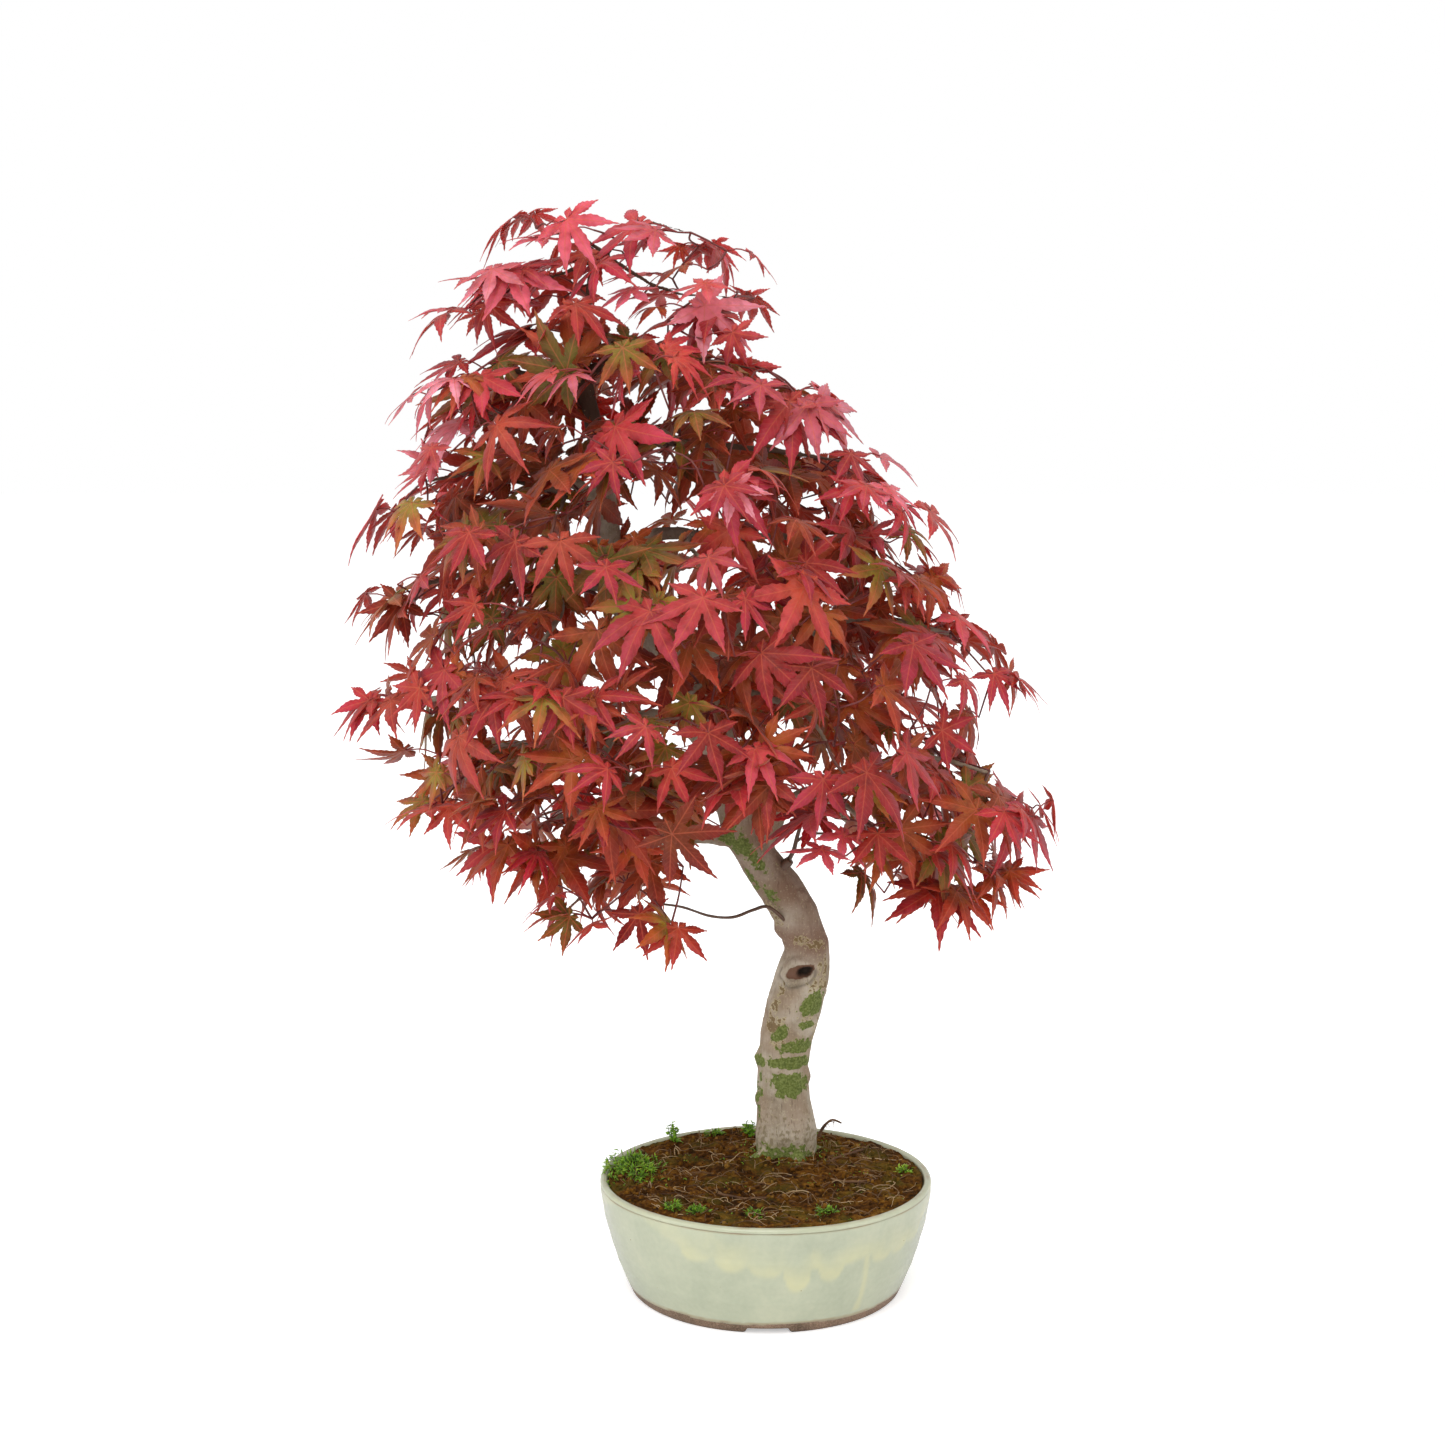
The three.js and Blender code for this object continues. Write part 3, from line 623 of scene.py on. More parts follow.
@dataclass
class Studio:
    """A white studio: a paper floor, a white surround, large soft lights and the camera."""

    eye: Place = (-26.1, -1425.6, 535.3)
    pitch: float = 7.62
    lens: float = 60.66
    sensor: float = 36.0
    floor_half: float = 12000.0
    surround: float = 0.66
    backdrop: float = 1.0
    paper_glow: float = 0.45

    def build(self) -> None:
        """Make the studio."""
        self._camera()
        self._floor()
        self._surround()
        self._soft_light("key", (-900, -3900, 3600), (0, 0, 300), 3600, 100)
        self._soft_light("top", (-300, -300, 4300), (-30, 0, 300), 3400, 50)
        self._soft_light("left", (-4200, -1500, 1700), (0, 0, 300), 3000, 42)
        self._soft_light("right", (4200, -1800, 1900), (0, 0, 300), 3000, 32)
        settings = bpy.context.scene.view_settings
        settings.view_transform = "Standard"
        settings.look = "None"

    def _camera(self) -> None:
        """Place the camera at eye height, looking a little down."""
        data = bpy.data.cameras.new("camera")
        data.lens, data.sensor_width, data.clip_end = self.lens, self.sensor, 100.0
        camera = bpy.data.objects.new("camera", data)
        camera.location = Vector(self.eye) * MM
        camera.rotation_euler = (math.radians(90 - self.pitch), 0.0, 0.0)
        bpy.context.scene.collection.objects.link(camera)
        bpy.context.scene.camera = camera

    def _floor(self) -> None:
        """Lay the paper."""
        half = self.floor_half
        sheet = Shape()
        corners = np.array([[-half, -half, 0], [half, -half, 0], [half, half, 0], [-half, half, 0]])
        sheet.add(corners, [np.array([[0, 1, 2, 3]])])
        floor = sheet.build("studio_floor")
        paper = FLOOR_PAPER.build()
        surface = paper.node_tree.nodes["Principled BSDF"]
        surface.inputs["Emission Color"].default_value = (1.0, 1.0, 1.0, 1.0)
        seen = add_node(paper.node_tree, "LightPath").outputs["Is Camera Ray"]
        glow = add_node(paper.node_tree, "Math", {0: seen, 1: self.paper_glow}, operation="MULTIPLY")
        paper.node_tree.links.new(glow.outputs[0], surface.inputs["Emission Strength"])
        floor.data.materials.append(paper)

    def _surround(self) -> None:
        """Light everything evenly from all round."""
        world = bpy.data.worlds.new("white_surround")
        world.use_nodes = True
        background = world.node_tree.nodes["Background"]
        background.inputs["Color"].default_value = (1.0, 1.0, 1.0, 1.0)
        seen = add_node(world.node_tree, "LightPath").outputs["Is Camera Ray"]
        span = {"Value": seen, "To Min": self.surround, "To Max": self.backdrop}
        strength = add_node(world.node_tree, "MapRange", span).outputs["Result"]
        world.node_tree.links.new(strength, background.inputs["Strength"])
        bpy.context.scene.world = world

    def _soft_light(self, name: str, place: Place, target: Place, size: float, power: float) -> None:
        """Hang a square soft box.

        Args:
            name: its name.
            place: its middle in millimetres.
            target: the point that it faces.
            size: its side in millimetres.
            power: its power in watts.
        """
        data = bpy.data.lights.new(name, "AREA")
        data.shape, data.size, data.energy = "SQUARE", size * MM, power
        light = bpy.data.objects.new(name, data)
        light.location = Vector(place) * MM
        light.rotation_euler = (Vector(target) - Vector(place)).to_track_quat("-Z", "Y").to_euler()
        bpy.context.scene.collection.objects.link(light)


# ------------------------------------------------------------------ the pot


def node_box(name: str) -> tuple[Array, Array]:
    """The low and high corner of a frame node in millimetres."""
    low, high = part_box(name)
    return np.array(low) / MM, np.array(high) / MM


def node_surface(name: str) -> tuple[Array, BVHTree]:
    """The corners of a frame node in millimetres, and its surface to measure heights on."""
    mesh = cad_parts[name].data
    corners = mesh_points(mesh)
    faces = [tuple(face.vertices) for face in mesh.polygons]
    return corners, BVHTree.FromPolygons([tuple(corner) for corner in corners], faces)


def height_on(surface: BVHTree, x: float, y: float, above: float = 400.0) -> float | None:
    """Height of a surface at a place, found from above, or nothing beside it."""
    hit = surface.ray_cast(Vector((x, y, above)), Vector((0, 0, -1)))[0]
    return hit.z if hit else None


def bearing_of(points: Array) -> Array:
    """Bearing of each point about the pot's axis, in degrees from +X."""
    return np.degrees(np.arctan2(points[:, 1], points[:, 0]))


def degrees_from(middle: float, bearing: Array) -> Array:
    """Turn from one bearing to others, from -180 to 180 degrees."""
    return (bearing - middle + 180) % 360 - 180


def polar(reach: float, turn: float) -> tuple[float, float]:
    """The place at a distance and a turn in radians from the pot's axis."""
    return reach * math.cos(turn), reach * math.sin(turn)


@dataclass
class Pot:
    """The thrown stoneware pot: its wall, lip, foot ring with notches, drain holes and two glazes."""

    foot_radius: float = 81.0
    wall: float = 4.5
    floor_top: float = 9.5
    recess: float = 3.5
    ring_width: float = 9.0
    belly: float = 1.7
    segments: int = 384
    notch_bearings: tuple[float, ...] = (-90.0, 30.0, 150.0)
    notch_half: float = 13.5
    drain_radius: float = 7.0
    drain_offset: float = 32.0
    groove_drop: float = 3.2
    glaze_stop: float = 6.3
    band_height: float = 12.0
    # Bearing and height of the creamy glaze's lower edge between its lobes, round the pot.
    edge_line: tuple[tuple[float, float], ...] = (
        (-180, 52), (-165, 58), (-152, 66), (-138, 66), (-128, 57), (-121, 53), (-109, 52), (-98, 48),
        (-85, 45), (-74, 42), (-64, 42), (-54, 45), (-44, 46), (-30, 47), (-22, 52), (-12, 59),
        (0, 61), (22, 51), (49, 47), (75, 48), (100, 46), (128, 50), (150, 52), (165, 50),
    )
    # Bearing, lowest height and half width in degrees of each rounded lobe.
    lobes: tuple[tuple[float, float, float], ...] = (
        (-115, 45, 6), (-103, 41, 6), (-91, 38, 6), (-80, 28, 5), (-68, 33, 4.5), (-47, 39, 5), (-38, 41, 5),
        (-28, 43, 5), (12, 50, 7), (36, 38, 6), (58, 31, 5), (72, 41, 5), (88, 38, 6), (108, 33, 5),
        (122, 43, 5), (140, 43, 6), (166, 44, 7), (-176, 47, 6),
    )
    # Bearing, lower end and half width in degrees of single long drips.
    drips: tuple[tuple[float, float, float], ...] = ((-54, 9, 1.7), (103, 14, 1.4), (27, 20, 1.8))

    def build(self) -> Object:
        """Make the pot."""
        _, high = node_box("pot")
        self.rim_radius, self.height = high[0], high[2]
        pot = self._lathe()
        self._drill(pot)
        points = mesh_points(pot.data)
        keep_values(pot.data, **self._glazing(points))
        set_points(pot.data, points + self._unevenness(points))
        LOG.info("pot: %d faces", len(pot.data.polygons))
        return finish_piece(pot, CeladonGlaze().build(), ["pot"])

    def _outside(self, height: Array | float) -> Array | float:
        """Outside radius of the bowed wall at a height."""
        fall = np.clip(1 - np.asarray(height) / self.height, 0, 1) ** self.belly
        return self.rim_radius - (self.rim_radius - self.foot_radius) * fall

    def _profile(self) -> Array:
        """Radius and height along the section, from the middle underneath round to the middle inside."""
        ring_inner = self.foot_radius - self.ring_width
        under = [(r, self.recess) for r in np.linspace(2.5, ring_inner - 1.5, 24)]
        ring = [(ring_inner - 0.4, self.recess - 0.3), (ring_inner, self.recess - 1.2)]
        ring += [(ring_inner + 0.1, 0.9), (ring_inner + 0.9, 0.05), (ring_inner + 3, 0.0)]
        ring += [(self.foot_radius - 3, 0.0), (self.foot_radius - 1.0, 0.0), (self.foot_radius - 0.2, 0.6)]
        outer = [(float(self._outside(z)), z) for z in np.linspace(1.5, self.height - 4.4, 66)]
        cut = self.height - self.groove_drop
        edge = float(self._outside(cut))
        groove = [(edge - 0.05, cut - 0.6), (edge - 0.4, cut), (edge + 0.1, cut + 0.6)]
        turn = np.linspace(-0.35, math.pi + 0.1, 12)
        half = self.wall / 2
        middle = self.rim_radius - half
        lip = [(middle + half * math.cos(a), self.height - half + half * math.sin(a)) for a in turn]
        down = np.linspace(self.height - half - 2.0, self.floor_top + 5, 24)
        inner = [(float(self._outside(z)) - self.wall, z) for z in down]
        corner = inner[-1][0]
        floor = [(corner - 1.0, self.floor_top + 1.8), (corner - 4.5, self.floor_top + 0.1)]
        floor += [(r, self.floor_top) for r in np.linspace(corner - 8, 2.5, 22)]
        return np.array(under + ring + outer + groove + lip + inner + floor)

    def _lathe(self) -> Object:
        """Turn the section about the axis."""
        profile = self._profile()
        turn = np.linspace(0, 2 * math.pi, self.segments, endpoint=False)
        radius, height = profile[:, :1], profile[:, 1:]
        rings = np.stack([radius * np.cos(turn), radius * np.sin(turn), height + 0 * turn], -1)
        ends = np.array([[0, 0, profile[0, 1]], [0, 0, profile[-1, 1]]])
        points = np.concatenate([rings.reshape(-1, 3), ends])
        points[:, 2] = self._notched(points)
        shape = Shape()
        shape.add(points, ring_faces(len(profile), self.segments))
        return shape.build("glazed_pot")

    def _notched(self, points: Array) -> Array:
        """Heights with the notches cut up into the foot ring."""
        reach = np.hypot(points[:, 0], points[:, 1])
        low = (points[:, 2] < self.recess) & (reach > self.foot_radius - self.ring_width - 1)
        bearing = bearing_of(points)
        lifted = points[:, 2].copy()
        for middle in self.notch_bearings:
            away = np.abs(degrees_from(middle, bearing)) * math.pi / 180 * self.foot_radius
            share = 1 - smooth_step(self.notch_half - 2.5, self.notch_half + 0.5, away)
            depth = (self.recess - 0.2) * share
            squeezed = depth + points[:, 2] * (1 - depth / self.recess)
            lifted = np.where(low & (away < self.notch_half + 1), squeezed, lifted)
        return lifted

    def _drill(self, pot: Object) -> None:
        """Cut the drain holes through the floor."""
        drills = []
        for side in (-1, 1):
            drill = Shape()
            middle = self.drain_offset * side
            path = np.array([[middle, 0, z] for z in (-5.0, 5.0, 10.0, 20.0)])
            drill.add_tube(path, np.full(4, self.drain_radius), 64)
            drills.append(drill.build(f"drill_{side}"))
        for drill in drills:
            cut = pot.modifiers.new("drain", "BOOLEAN")
            cut.operation, cut.solver, cut.object = "DIFFERENCE", "EXACT", drill
        graph = bpy.context.evaluated_depsgraph_get()
        drilled = bpy.data.meshes.new_from_object(pot.evaluated_get(graph))
        pot.modifiers.clear()
        pot.data = drilled
        for drill in drills:
            bpy.data.objects.remove(drill)

    def _unevenness(self, points: Array) -> Array:
        """Throwing rings, a slight warp of the whole pot, and pooled glaze."""
        reach = np.hypot(points[:, 0], points[:, 1])
        outward = np.stack([points[:, 0], points[:, 1], 0 * reach], -1) / np.maximum(reach, 1)[:, None]
        bearing = np.radians(bearing_of(points))
        turns = np.stack([points[:, 2] + bearing * 0.6, 0 * reach, 0 * reach], -1)
        share = smooth_step(0.7 * self.foot_radius, 0.9 * self.foot_radius, reach)
        share = share * smooth_step(0, 12, points[:, 2])
        rings = 0.16 * noise(turns, 5.0, 3) + 0.1 * noise(turns, 2.2, 4)
        warp = 0.5 * noise(points, 75.0, 5) + 0.2 * noise(points, 24.0, 6)
        lift = 0.35 * noise(outward * self.rim_radius, 60.0, 7) * smooth_step(20, self.height, points[:, 2])
        return outward * ((rings + warp) * share)[:, None] + UP * (lift * share)[:, None]

    def _glazing(self, points: Array) -> dict[str, Array]:
        """Where the glaze, the creamy run and the thin brown places are."""
        reach, height = np.hypot(points[:, 0], points[:, 1]), points[:, 2]
        bearing = bearing_of(points)
        outer = smooth_step(-1.2, -0.6, reach - self._outside(height)) * (height > 0.2)
        stop = self.glaze_stop + 0.6 * noise(points, 11.0, 11) + 0.35 * noise(points, 3.0, 12)
        glaze = np.maximum(outer * smooth_step(stop - 0.25, stop + 0.25, height), smooth_step(52, 56, height))
        line = np.array(self.edge_line)
        upper = np.interp(bearing, line[:, 0], line[:, 1], period=360)
        edge = upper.copy()
        for middle, low, half in self.lobes:
            away = np.abs(degrees_from(middle, bearing)) / half
            edge = np.minimum(edge, upper - (upper - low) * np.sqrt(np.clip(1 - away**2.4, 0, 1)))
        edge += 0.5 * noise(points, 5.0, 13)
        top = 0.5 * (edge + upper) + self.band_height + 3.5 * noise(points, 9.0, 14)
        cream = smooth_step(edge - 1.6, edge + 3.2, height) * (1 - smooth_step(top - 9, top + 7, height))
        low_lobe = smooth_step(upper + 2, upper - 7, height)
        cloudy = 0.42 + 0.28 * noise(points, 13.0, 15) + 0.12 * noise(points, 4.0, 16) + 0.3 * low_lobe
        cream = cream * np.clip(cloudy, 0.15, 0.85)
        for middle, end, half in self.drips:
            sideways = bearing - middle - 1.2 * np.sin(height * 0.07)
            width = half * (0.75 + 0.35 * smooth_step(end + 10, end, height))
            drip = 1 - smooth_step(width * 0.35, width * 1.5, np.abs(sideways))
            drip *= smooth_step(end - 0.8, end + 1.2, height) * (1 - smooth_step(44, 54, height))
            cream = np.maximum(cream, 0.6 * drip)
        cut = self.height - self.groove_drop
        rim = smooth_step(cut + 0.2, cut + 1.0, height)
        cream = np.maximum(cream * outer, 0.18 * rim)
        groove = 1 - smooth_step(0.25, 0.75, np.abs(height - self.height + self.groove_drop))
        worn = 0.55 + 0.5 * noise(points, 14.0, 17)
        above = 1 - smooth_step(0.3, 1.3, np.abs(height - stop - 0.5))
        crest = smooth_step(self.height - 0.7, self.height + 0.1, height)
        crest = crest * np.clip(0.25 + noise(points, 9.0, 18) + 0.4 * noise(points, 2.5, 19), 0, 1)
        thin = np.clip(np.maximum(groove * worn * outer, np.maximum(0.6 * above * outer, 0.7 * crest)), 0, 1)
        return {"glaze": glaze, "cream": cream, "thin": thin}


# ------------------------------------------------------------------ the soil


@dataclass
class Soil:
    """The potting soil: an uneven crumbly surface, loose crumbs on it and fine rootlets over it."""

    rings: int = 110
    spokes: int = 420
    crumbs: int = 1300
    rootlets: int = 380
    heap: float = 2.6
    edge_drop: float = 6.0
    rootlet_reach: float = 0.965
    seed: int = 5

    def build(self) -> None:
        """Make the soil, its crumbs and its rootlets."""
        self.low, self.high = node_box("soil")
        corners, self.surface = node_surface("soil")
        self.radius = float(np.hypot(corners[:, 0], corners[:, 1]).max())
        self.rng = np.random.default_rng(self.seed)
        material = PottingSoil().build()
        soil = self._body()
        finish_piece(soil, material, ["soil"])
        finish_piece(self._crumbs(), material)
        finish_piece(self._rootlets(), DryFibre().build())
        LOG.info("soil: %d faces, crumbs and rootlets", len(soil.data.polygons))

    def smooth_top(self, x: float, y: float) -> float:
        """Height at a place of the frame's soil surface with its heap, but without crumbs."""
        height = height_on(self.surface, x, y)
        return (self.top_edge if height is None else height) + self.heaped(x, y)

    def heaped(self, x: float, y: float) -> float:
        """How far the soil is heaped up towards the lip."""
        return self.heap * float(smooth_step(0.5, 0.88, math.hypot(x, y) / self.radius))

    @property
    def top_edge(self) -> float:
        """Height of the surface at the wall."""
        return self.high[2] - self.edge_drop

    def relief(self, points: Array) -> Array:
        """How far the crumbly surface stands above the smooth one."""
        coarse = 1.0 * noise(points, 13.0, 21) + 1.2 * noise(points, 6.0, 22)
        fine = 0.75 * noise(points, 2.6, 23) + 0.4 * noise(points, 1.2, 24)
        return coarse + fine

    def top(self, x: float, y: float) -> float:
        """Height of the crumbly surface at a place."""
        return self.smooth_top(x, y) + float(self.relief(np.array([[x, y, 0.0]]))[0])

    def _body(self) -> Object:
        """One closed solid: the uneven top, and a plain side and underside inside the pot."""
        share = np.linspace(0, 1, self.rings + 1)[1:] ** 0.8
        turn = np.linspace(0, 2 * math.pi, self.spokes, endpoint=False)
        reach = self.radius * share[:, None]
        flat = np.stack([reach * np.cos(turn), reach * np.sin(turn), 0 * reach + 0 * turn], -1).reshape(-1, 3)
        heights = np.array([self.smooth_top(x * 0.995, y * 0.995) for x, y, _ in flat])
        flat[:, 2] = heights + self.relief(flat)
        depth = [(1.0, self.low[2] + 30), (0.93, self.low[2] + 8), (0.86, self.low[2]), (0.4, self.low[2])]
        sides = [np.stack([self.radius * s * np.cos(turn), self.radius * s * np.sin(turn), z + 0 * turn], -1)
                 for s, z in depth]
        ends = np.array([[0, 0, self.smooth_top(0, 0)], [0, 0, self.low[2]]])
        points = np.concatenate([flat, *sides, ends])
        tone = 0.42 + 0.3 * noise(points, 5.0, 25) + 0.28 * noise(points, 1.6, 26)
        tone += 0.12 * noise(points, 30.0, 27)
        shape = Shape()
        shape.add(points, ring_faces(self.rings + len(depth), self.spokes, inward=True), tone=tone)
        return shape.build("crumbly_soil")

    def _spot(self, rim: float = 0.97) -> tuple[float, float]:
        """A random place on the soil."""
        reach = self.radius * rim * math.sqrt(self.rng.random())
        return polar(reach, self.rng.random() * 2 * math.pi)

    def _crumbs(self) -> Object:
        """Loose crumbs: small lumpy balls, mostly under 2 mm."""
        ball, faces = lumpy_ball()
        shape = Shape()
        for _ in range(self.crumbs):
            x, y = self._spot()
            size = 0.5 + 1.1 * self.rng.random() ** 2.5
            stretch = 0.7 + 0.6 * self.rng.random(3)
            jitter = 1 + 0.18 * self.rng.standard_normal((len(ball), 1))
            points = ball * jitter * stretch * size + [x, y, self.top(x, y) + size * 0.3]
            shape.add(points, faces, tone=float(self.rng.uniform(0.15, 0.8)))
        return shape.build("soil_crumbs")

    def _rootlets(self) -> Object:
        """Fine dead roots that lie over the soil, arch out of it and run back in."""
        shape = Shape()
        for index in range(self.rootlets):
            x, y = self._spot(0.93)
            heading = self.rng.random() * 2 * math.pi
            length = self.rng.uniform(6, 20) if index % 5 else self.rng.uniform(22, 44)
            steps = int(6 + length / 2)
            bend = self.rng.normal(0, 0.16)
            lift = self.rng.uniform(0.4, 2.6) if index % 6 else self.rng.uniform(2.0, 5.5)
            path = []
            for share in np.linspace(0, 1, steps):
                heading += bend * length / steps / 2 + self.rng.normal(0, 0.16)
                x += math.cos(heading) * length / steps
                y += math.sin(heading) * length / steps
                reach, most = math.hypot(x, y), self.radius * self.rootlet_reach
                if reach > most:
                    x, y = x * most / reach, y * most / reach
                rise = math.sin(math.pi * share) * lift - 0.3
                path.append([x, y, self.top(x, y) * 0.4 + self.smooth_top(x, y) * 0.6 + rise])
            path = curve_through(path, steps * 2)
            radius = self.rng.uniform(0.16, 0.4)
            radii = radius * (1 - 0.6 * np.linspace(0, 1, len(path)))
            shape.add_tube(path, radii, 5, tone=float(self.rng.beta(1.6, 1.6)))
        return shape.build("fine_rootlets")


def lumpy_ball(sides: int = 7, tilts: tuple[float, ...] = (-0.8, 0.0, 0.8)) -> tuple[Array, list[Array]]:
    """A low ball for crumbs, with one ring of points at each tilt, as points and faces."""
    turn = np.linspace(0, 2 * math.pi, sides, endpoint=False)
    rings = [np.stack([math.cos(a) * np.cos(turn), math.cos(a) * np.sin(turn), math.sin(a) + 0 * turn], -1)
             for a in tilts]
    return np.concatenate([*rings, [[0, 0, -1], [0, 0, 1]]]), ring_faces(len(tilts), sides)


# ------------------------------------------------------------------ the wood


@dataclass(frozen=True)
class Growth:
    """A patch of algae or a stain on the bark: its place, its half size and how dense it is."""

    bearing: float
    height: float
    half_width: float
    half_height: float
    strength: float = 1.0


@dataclass(frozen=True)
class Knob:
    """A healed branch collar that bulges out of the bark."""

    bearing: float
    height: float
    half_width: float
    half_height: float
    bulge: float


@dataclass
class Wood:
    """Trunk, thick roots and branches: one grown piece with smooth bark, knobs and a healed wound."""

    voxel: float = 1.08
    smoothing: int = 8
    thick_smoothing: int = 90
    thick_radius: float = 5.5
    slab: float = 4.0
    trunk_foot: tuple[float, float] = (14.0, 45.0)
    foot_radius: float = 18.5
    foot_height: float = 72.0
    line_end: float = 500.0
    wound: Knob = Knob(253, 187.5, 11.0, 9.0, 2.2)
    knobs: tuple[Knob, ...] = (
        Knob(184, 129, 8, 7, 2.6), Knob(190, 103, 5, 6, 1.8), Knob(196, 212, 6, 6, 2.4),
        Knob(352, 118, 7, 6, 1.6), Knob(20, 170, 7, 5, 2.0), Knob(120, 150, 7, 6, 2.2),
        Knob(75, 205, 6, 5, 2.0), Knob(250, 250, 4, 4, 1.2), Knob(330, 236, 5, 4, 1.4),
    )
    algae: tuple[Growth, ...] = (
        Growth(308, 167, 10, 8), Growth(303, 153, 7, 3, 0.9), Growth(250, 149, 5, 5),
        Growth(240, 146, 5, 3, 0.8), Growth(303, 139, 13, 5), Growth(285, 129.5, 17, 5.5),
        Growth(283, 116, 15, 8.5), Growth(262, 135, 4, 3, 0.7), Growth(200, 128, 6, 7, 0.8),
        Growth(222, 272, 4, 14, 0.9), Growth(240, 236, 5, 7, 0.75), Growth(255, 262, 7, 14, 0.9),
        Growth(265, 405, 7, 14, 0.85), Growth(210, 245, 5, 9, 0.8), Growth(198, 108, 5, 8, 0.6),
        Growth(205, 118, 3, 4, 0.7), Growth(202, 96, 3, 5, 0.7), Growth(285, 72, 13, 7, 0.75),
        Growth(236, 74, 6, 5, 0.7), Growth(40, 140, 10, 9), Growth(80, 120, 12, 7),
        Growth(110, 175, 9, 8, 0.8), Growth(60, 230, 5, 12, 0.8), Growth(150, 100, 8, 8, 0.7),
    )
    stains: tuple[Growth, ...] = (
        Growth(232, 153, 7, 6), Growth(222, 165, 4, 7, 0.8), Growth(250, 142, 6, 3, 0.8),
        Growth(312, 178, 9, 5, 0.8), Growth(268, 207, 7, 4, 0.7), Growth(295, 204, 8, 3, 0.9),
        Growth(228, 175, 3, 6, 0.8), Growth(322, 168, 5, 4, 0.8), Growth(296, 158, 6, 2.5, 0.8),
        Growth(222, 225, 5, 9, 0.7), Growth(340, 150, 6, 10, 0.6), Growth(318, 190, 6, 6, 0.7),
    )
    # Heights of pale cracks that part the algae.
    seams: tuple[float, ...] = (134.3, 124.2)

    def build(self) -> Object:
        """Make the wood."""
        piece = self._remeshed(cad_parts["trunk_and_branches"])
        mesh = piece.data
        points = mesh_points(mesh)
        self.centres = self._centre_line(points)
        points = self._smoothed(mesh, points)
        set_points(mesh, points)
        normals = np.empty(len(points) * 3, np.float32)
        mesh.vertex_normals.foreach_get("vector", normals)
        normals = normals.reshape(-1, 3).astype(float)
        around, height, radius, inside = self._trunk_place(points)
        lift, values = self._features(points, around, height, radius, inside)
        set_points(mesh, points + normals * lift[:, None])
        keep_values(mesh, **values)
        mesh.polygons.foreach_set("use_smooth", np.ones(len(mesh.polygons), bool))
        LOG.info("wood: %d faces", len(mesh.polygons))
        return finish_piece(piece, MapleBark().build(), ["trunk_and_branches"])

    def _remeshed(self, node: Object) -> Object:
        """A copy of the frame's wood with an even, fine mesh."""
        copy = bpy.data.objects.new("maple_wood", node.data.copy())
        bpy.context.scene.collection.objects.link(copy)
        remesh = copy.modifiers.new("even", "REMESH")
        remesh.mode, remesh.voxel_size = "VOXEL", self.voxel * MM
        graph = bpy.context.evaluated_depsgraph_get()
        copy.data = bpy.data.meshes.new_from_object(copy.evaluated_get(graph))
        copy.modifiers.clear()
        return copy

    def _centre_line(self, points: Array) -> Array:
        """Follow the trunk up from the soil: height, middle and radius of each slab."""
        middle, rows = np.array(self.trunk_foot), []
        radius, height = self.foot_radius, self.foot_height
        while height < self.line_end:
            near = np.abs(points[:, 2] - height) < self.slab / 2
            near &= np.hypot(*(points[:, :2] - middle).T) < radius * 1.45 + 3
            if near.sum() < 8:
                break
            found = points[near][:, :2]
            shift = (found.min(0) + found.max(0)) / 2 - middle
            middle = middle + np.clip(shift, -4, 4)
            span = np.hypot(*(found - middle).T)
            radius = float(np.clip(np.median(span), radius - 1.2, radius + 0.8))
            rows.append([height, middle[0], middle[1], radius])
            height += self.slab
        return np.array(rows)

    def _trunk_place(self, points: Array) -> tuple[Array, Array, Array, Array]:
        """Bearing about the trunk, height, the trunk's radius there and whether a point is on it."""
        rows = self.centres
        height = points[:, 2]
        x, y, radius = (np.interp(height, rows[:, 0], rows[:, i]) for i in (1, 2, 3))
        dx, dy = points[:, 0] - x, points[:, 1] - y
        bearing = np.degrees(np.arctan2(dy, dx)) % 360
        away = np.hypot(dx, dy)
        inside = (1 - smooth_step(1.35, 1.7, away / np.maximum(radius, 1))) * (height < rows[-1, 0])
        return bearing, height, radius, inside

    def _smoothed(self, mesh: bpy.types.Mesh, points: Array) -> Array:
        """Round off facets, keeping the thickness: much on the trunk, little on thin branches."""
        ends = np.empty(len(mesh.edges) * 2, np.int32)
        mesh.edges.foreach_get("vertices", ends)
        first, second = ends.reshape(-1, 2).T
        count = np.bincount(first, minlength=len(points)) + np.bincount(second, minlength=len(points))
        _, height, radius, inside = self._trunk_place(points)
        thick = inside * smooth_step(self.thick_radius - 1, self.thick_radius + 1, radius)
        thick = thick * smooth_step(60, 68, height)
        for step in range(self.thick_smoothing):
            for pull in (0.6, -0.63):
                total = np.empty_like(points)
                for axis in range(3):
                    total[:, axis] = np.bincount(first, points[second, axis], len(points))
                    total[:, axis] += np.bincount(second, points[first, axis], len(points))
                shift = total / np.maximum(count, 1)[:, None] - points
                weight = pull if step < self.smoothing else pull * thick[:, None]
                points = points + weight * shift
        return points

    def _spot(self, around: Array, height: Array, radius: Array, spot: Growth | Knob) -> tuple[Array, Array]:
        """Distance across and up from a spot, each as a share of the spot's half size."""
        across = np.radians(degrees_from(spot.bearing, around)) * radius / spot.half_width
        return across, (height - spot.height) / spot.half_height

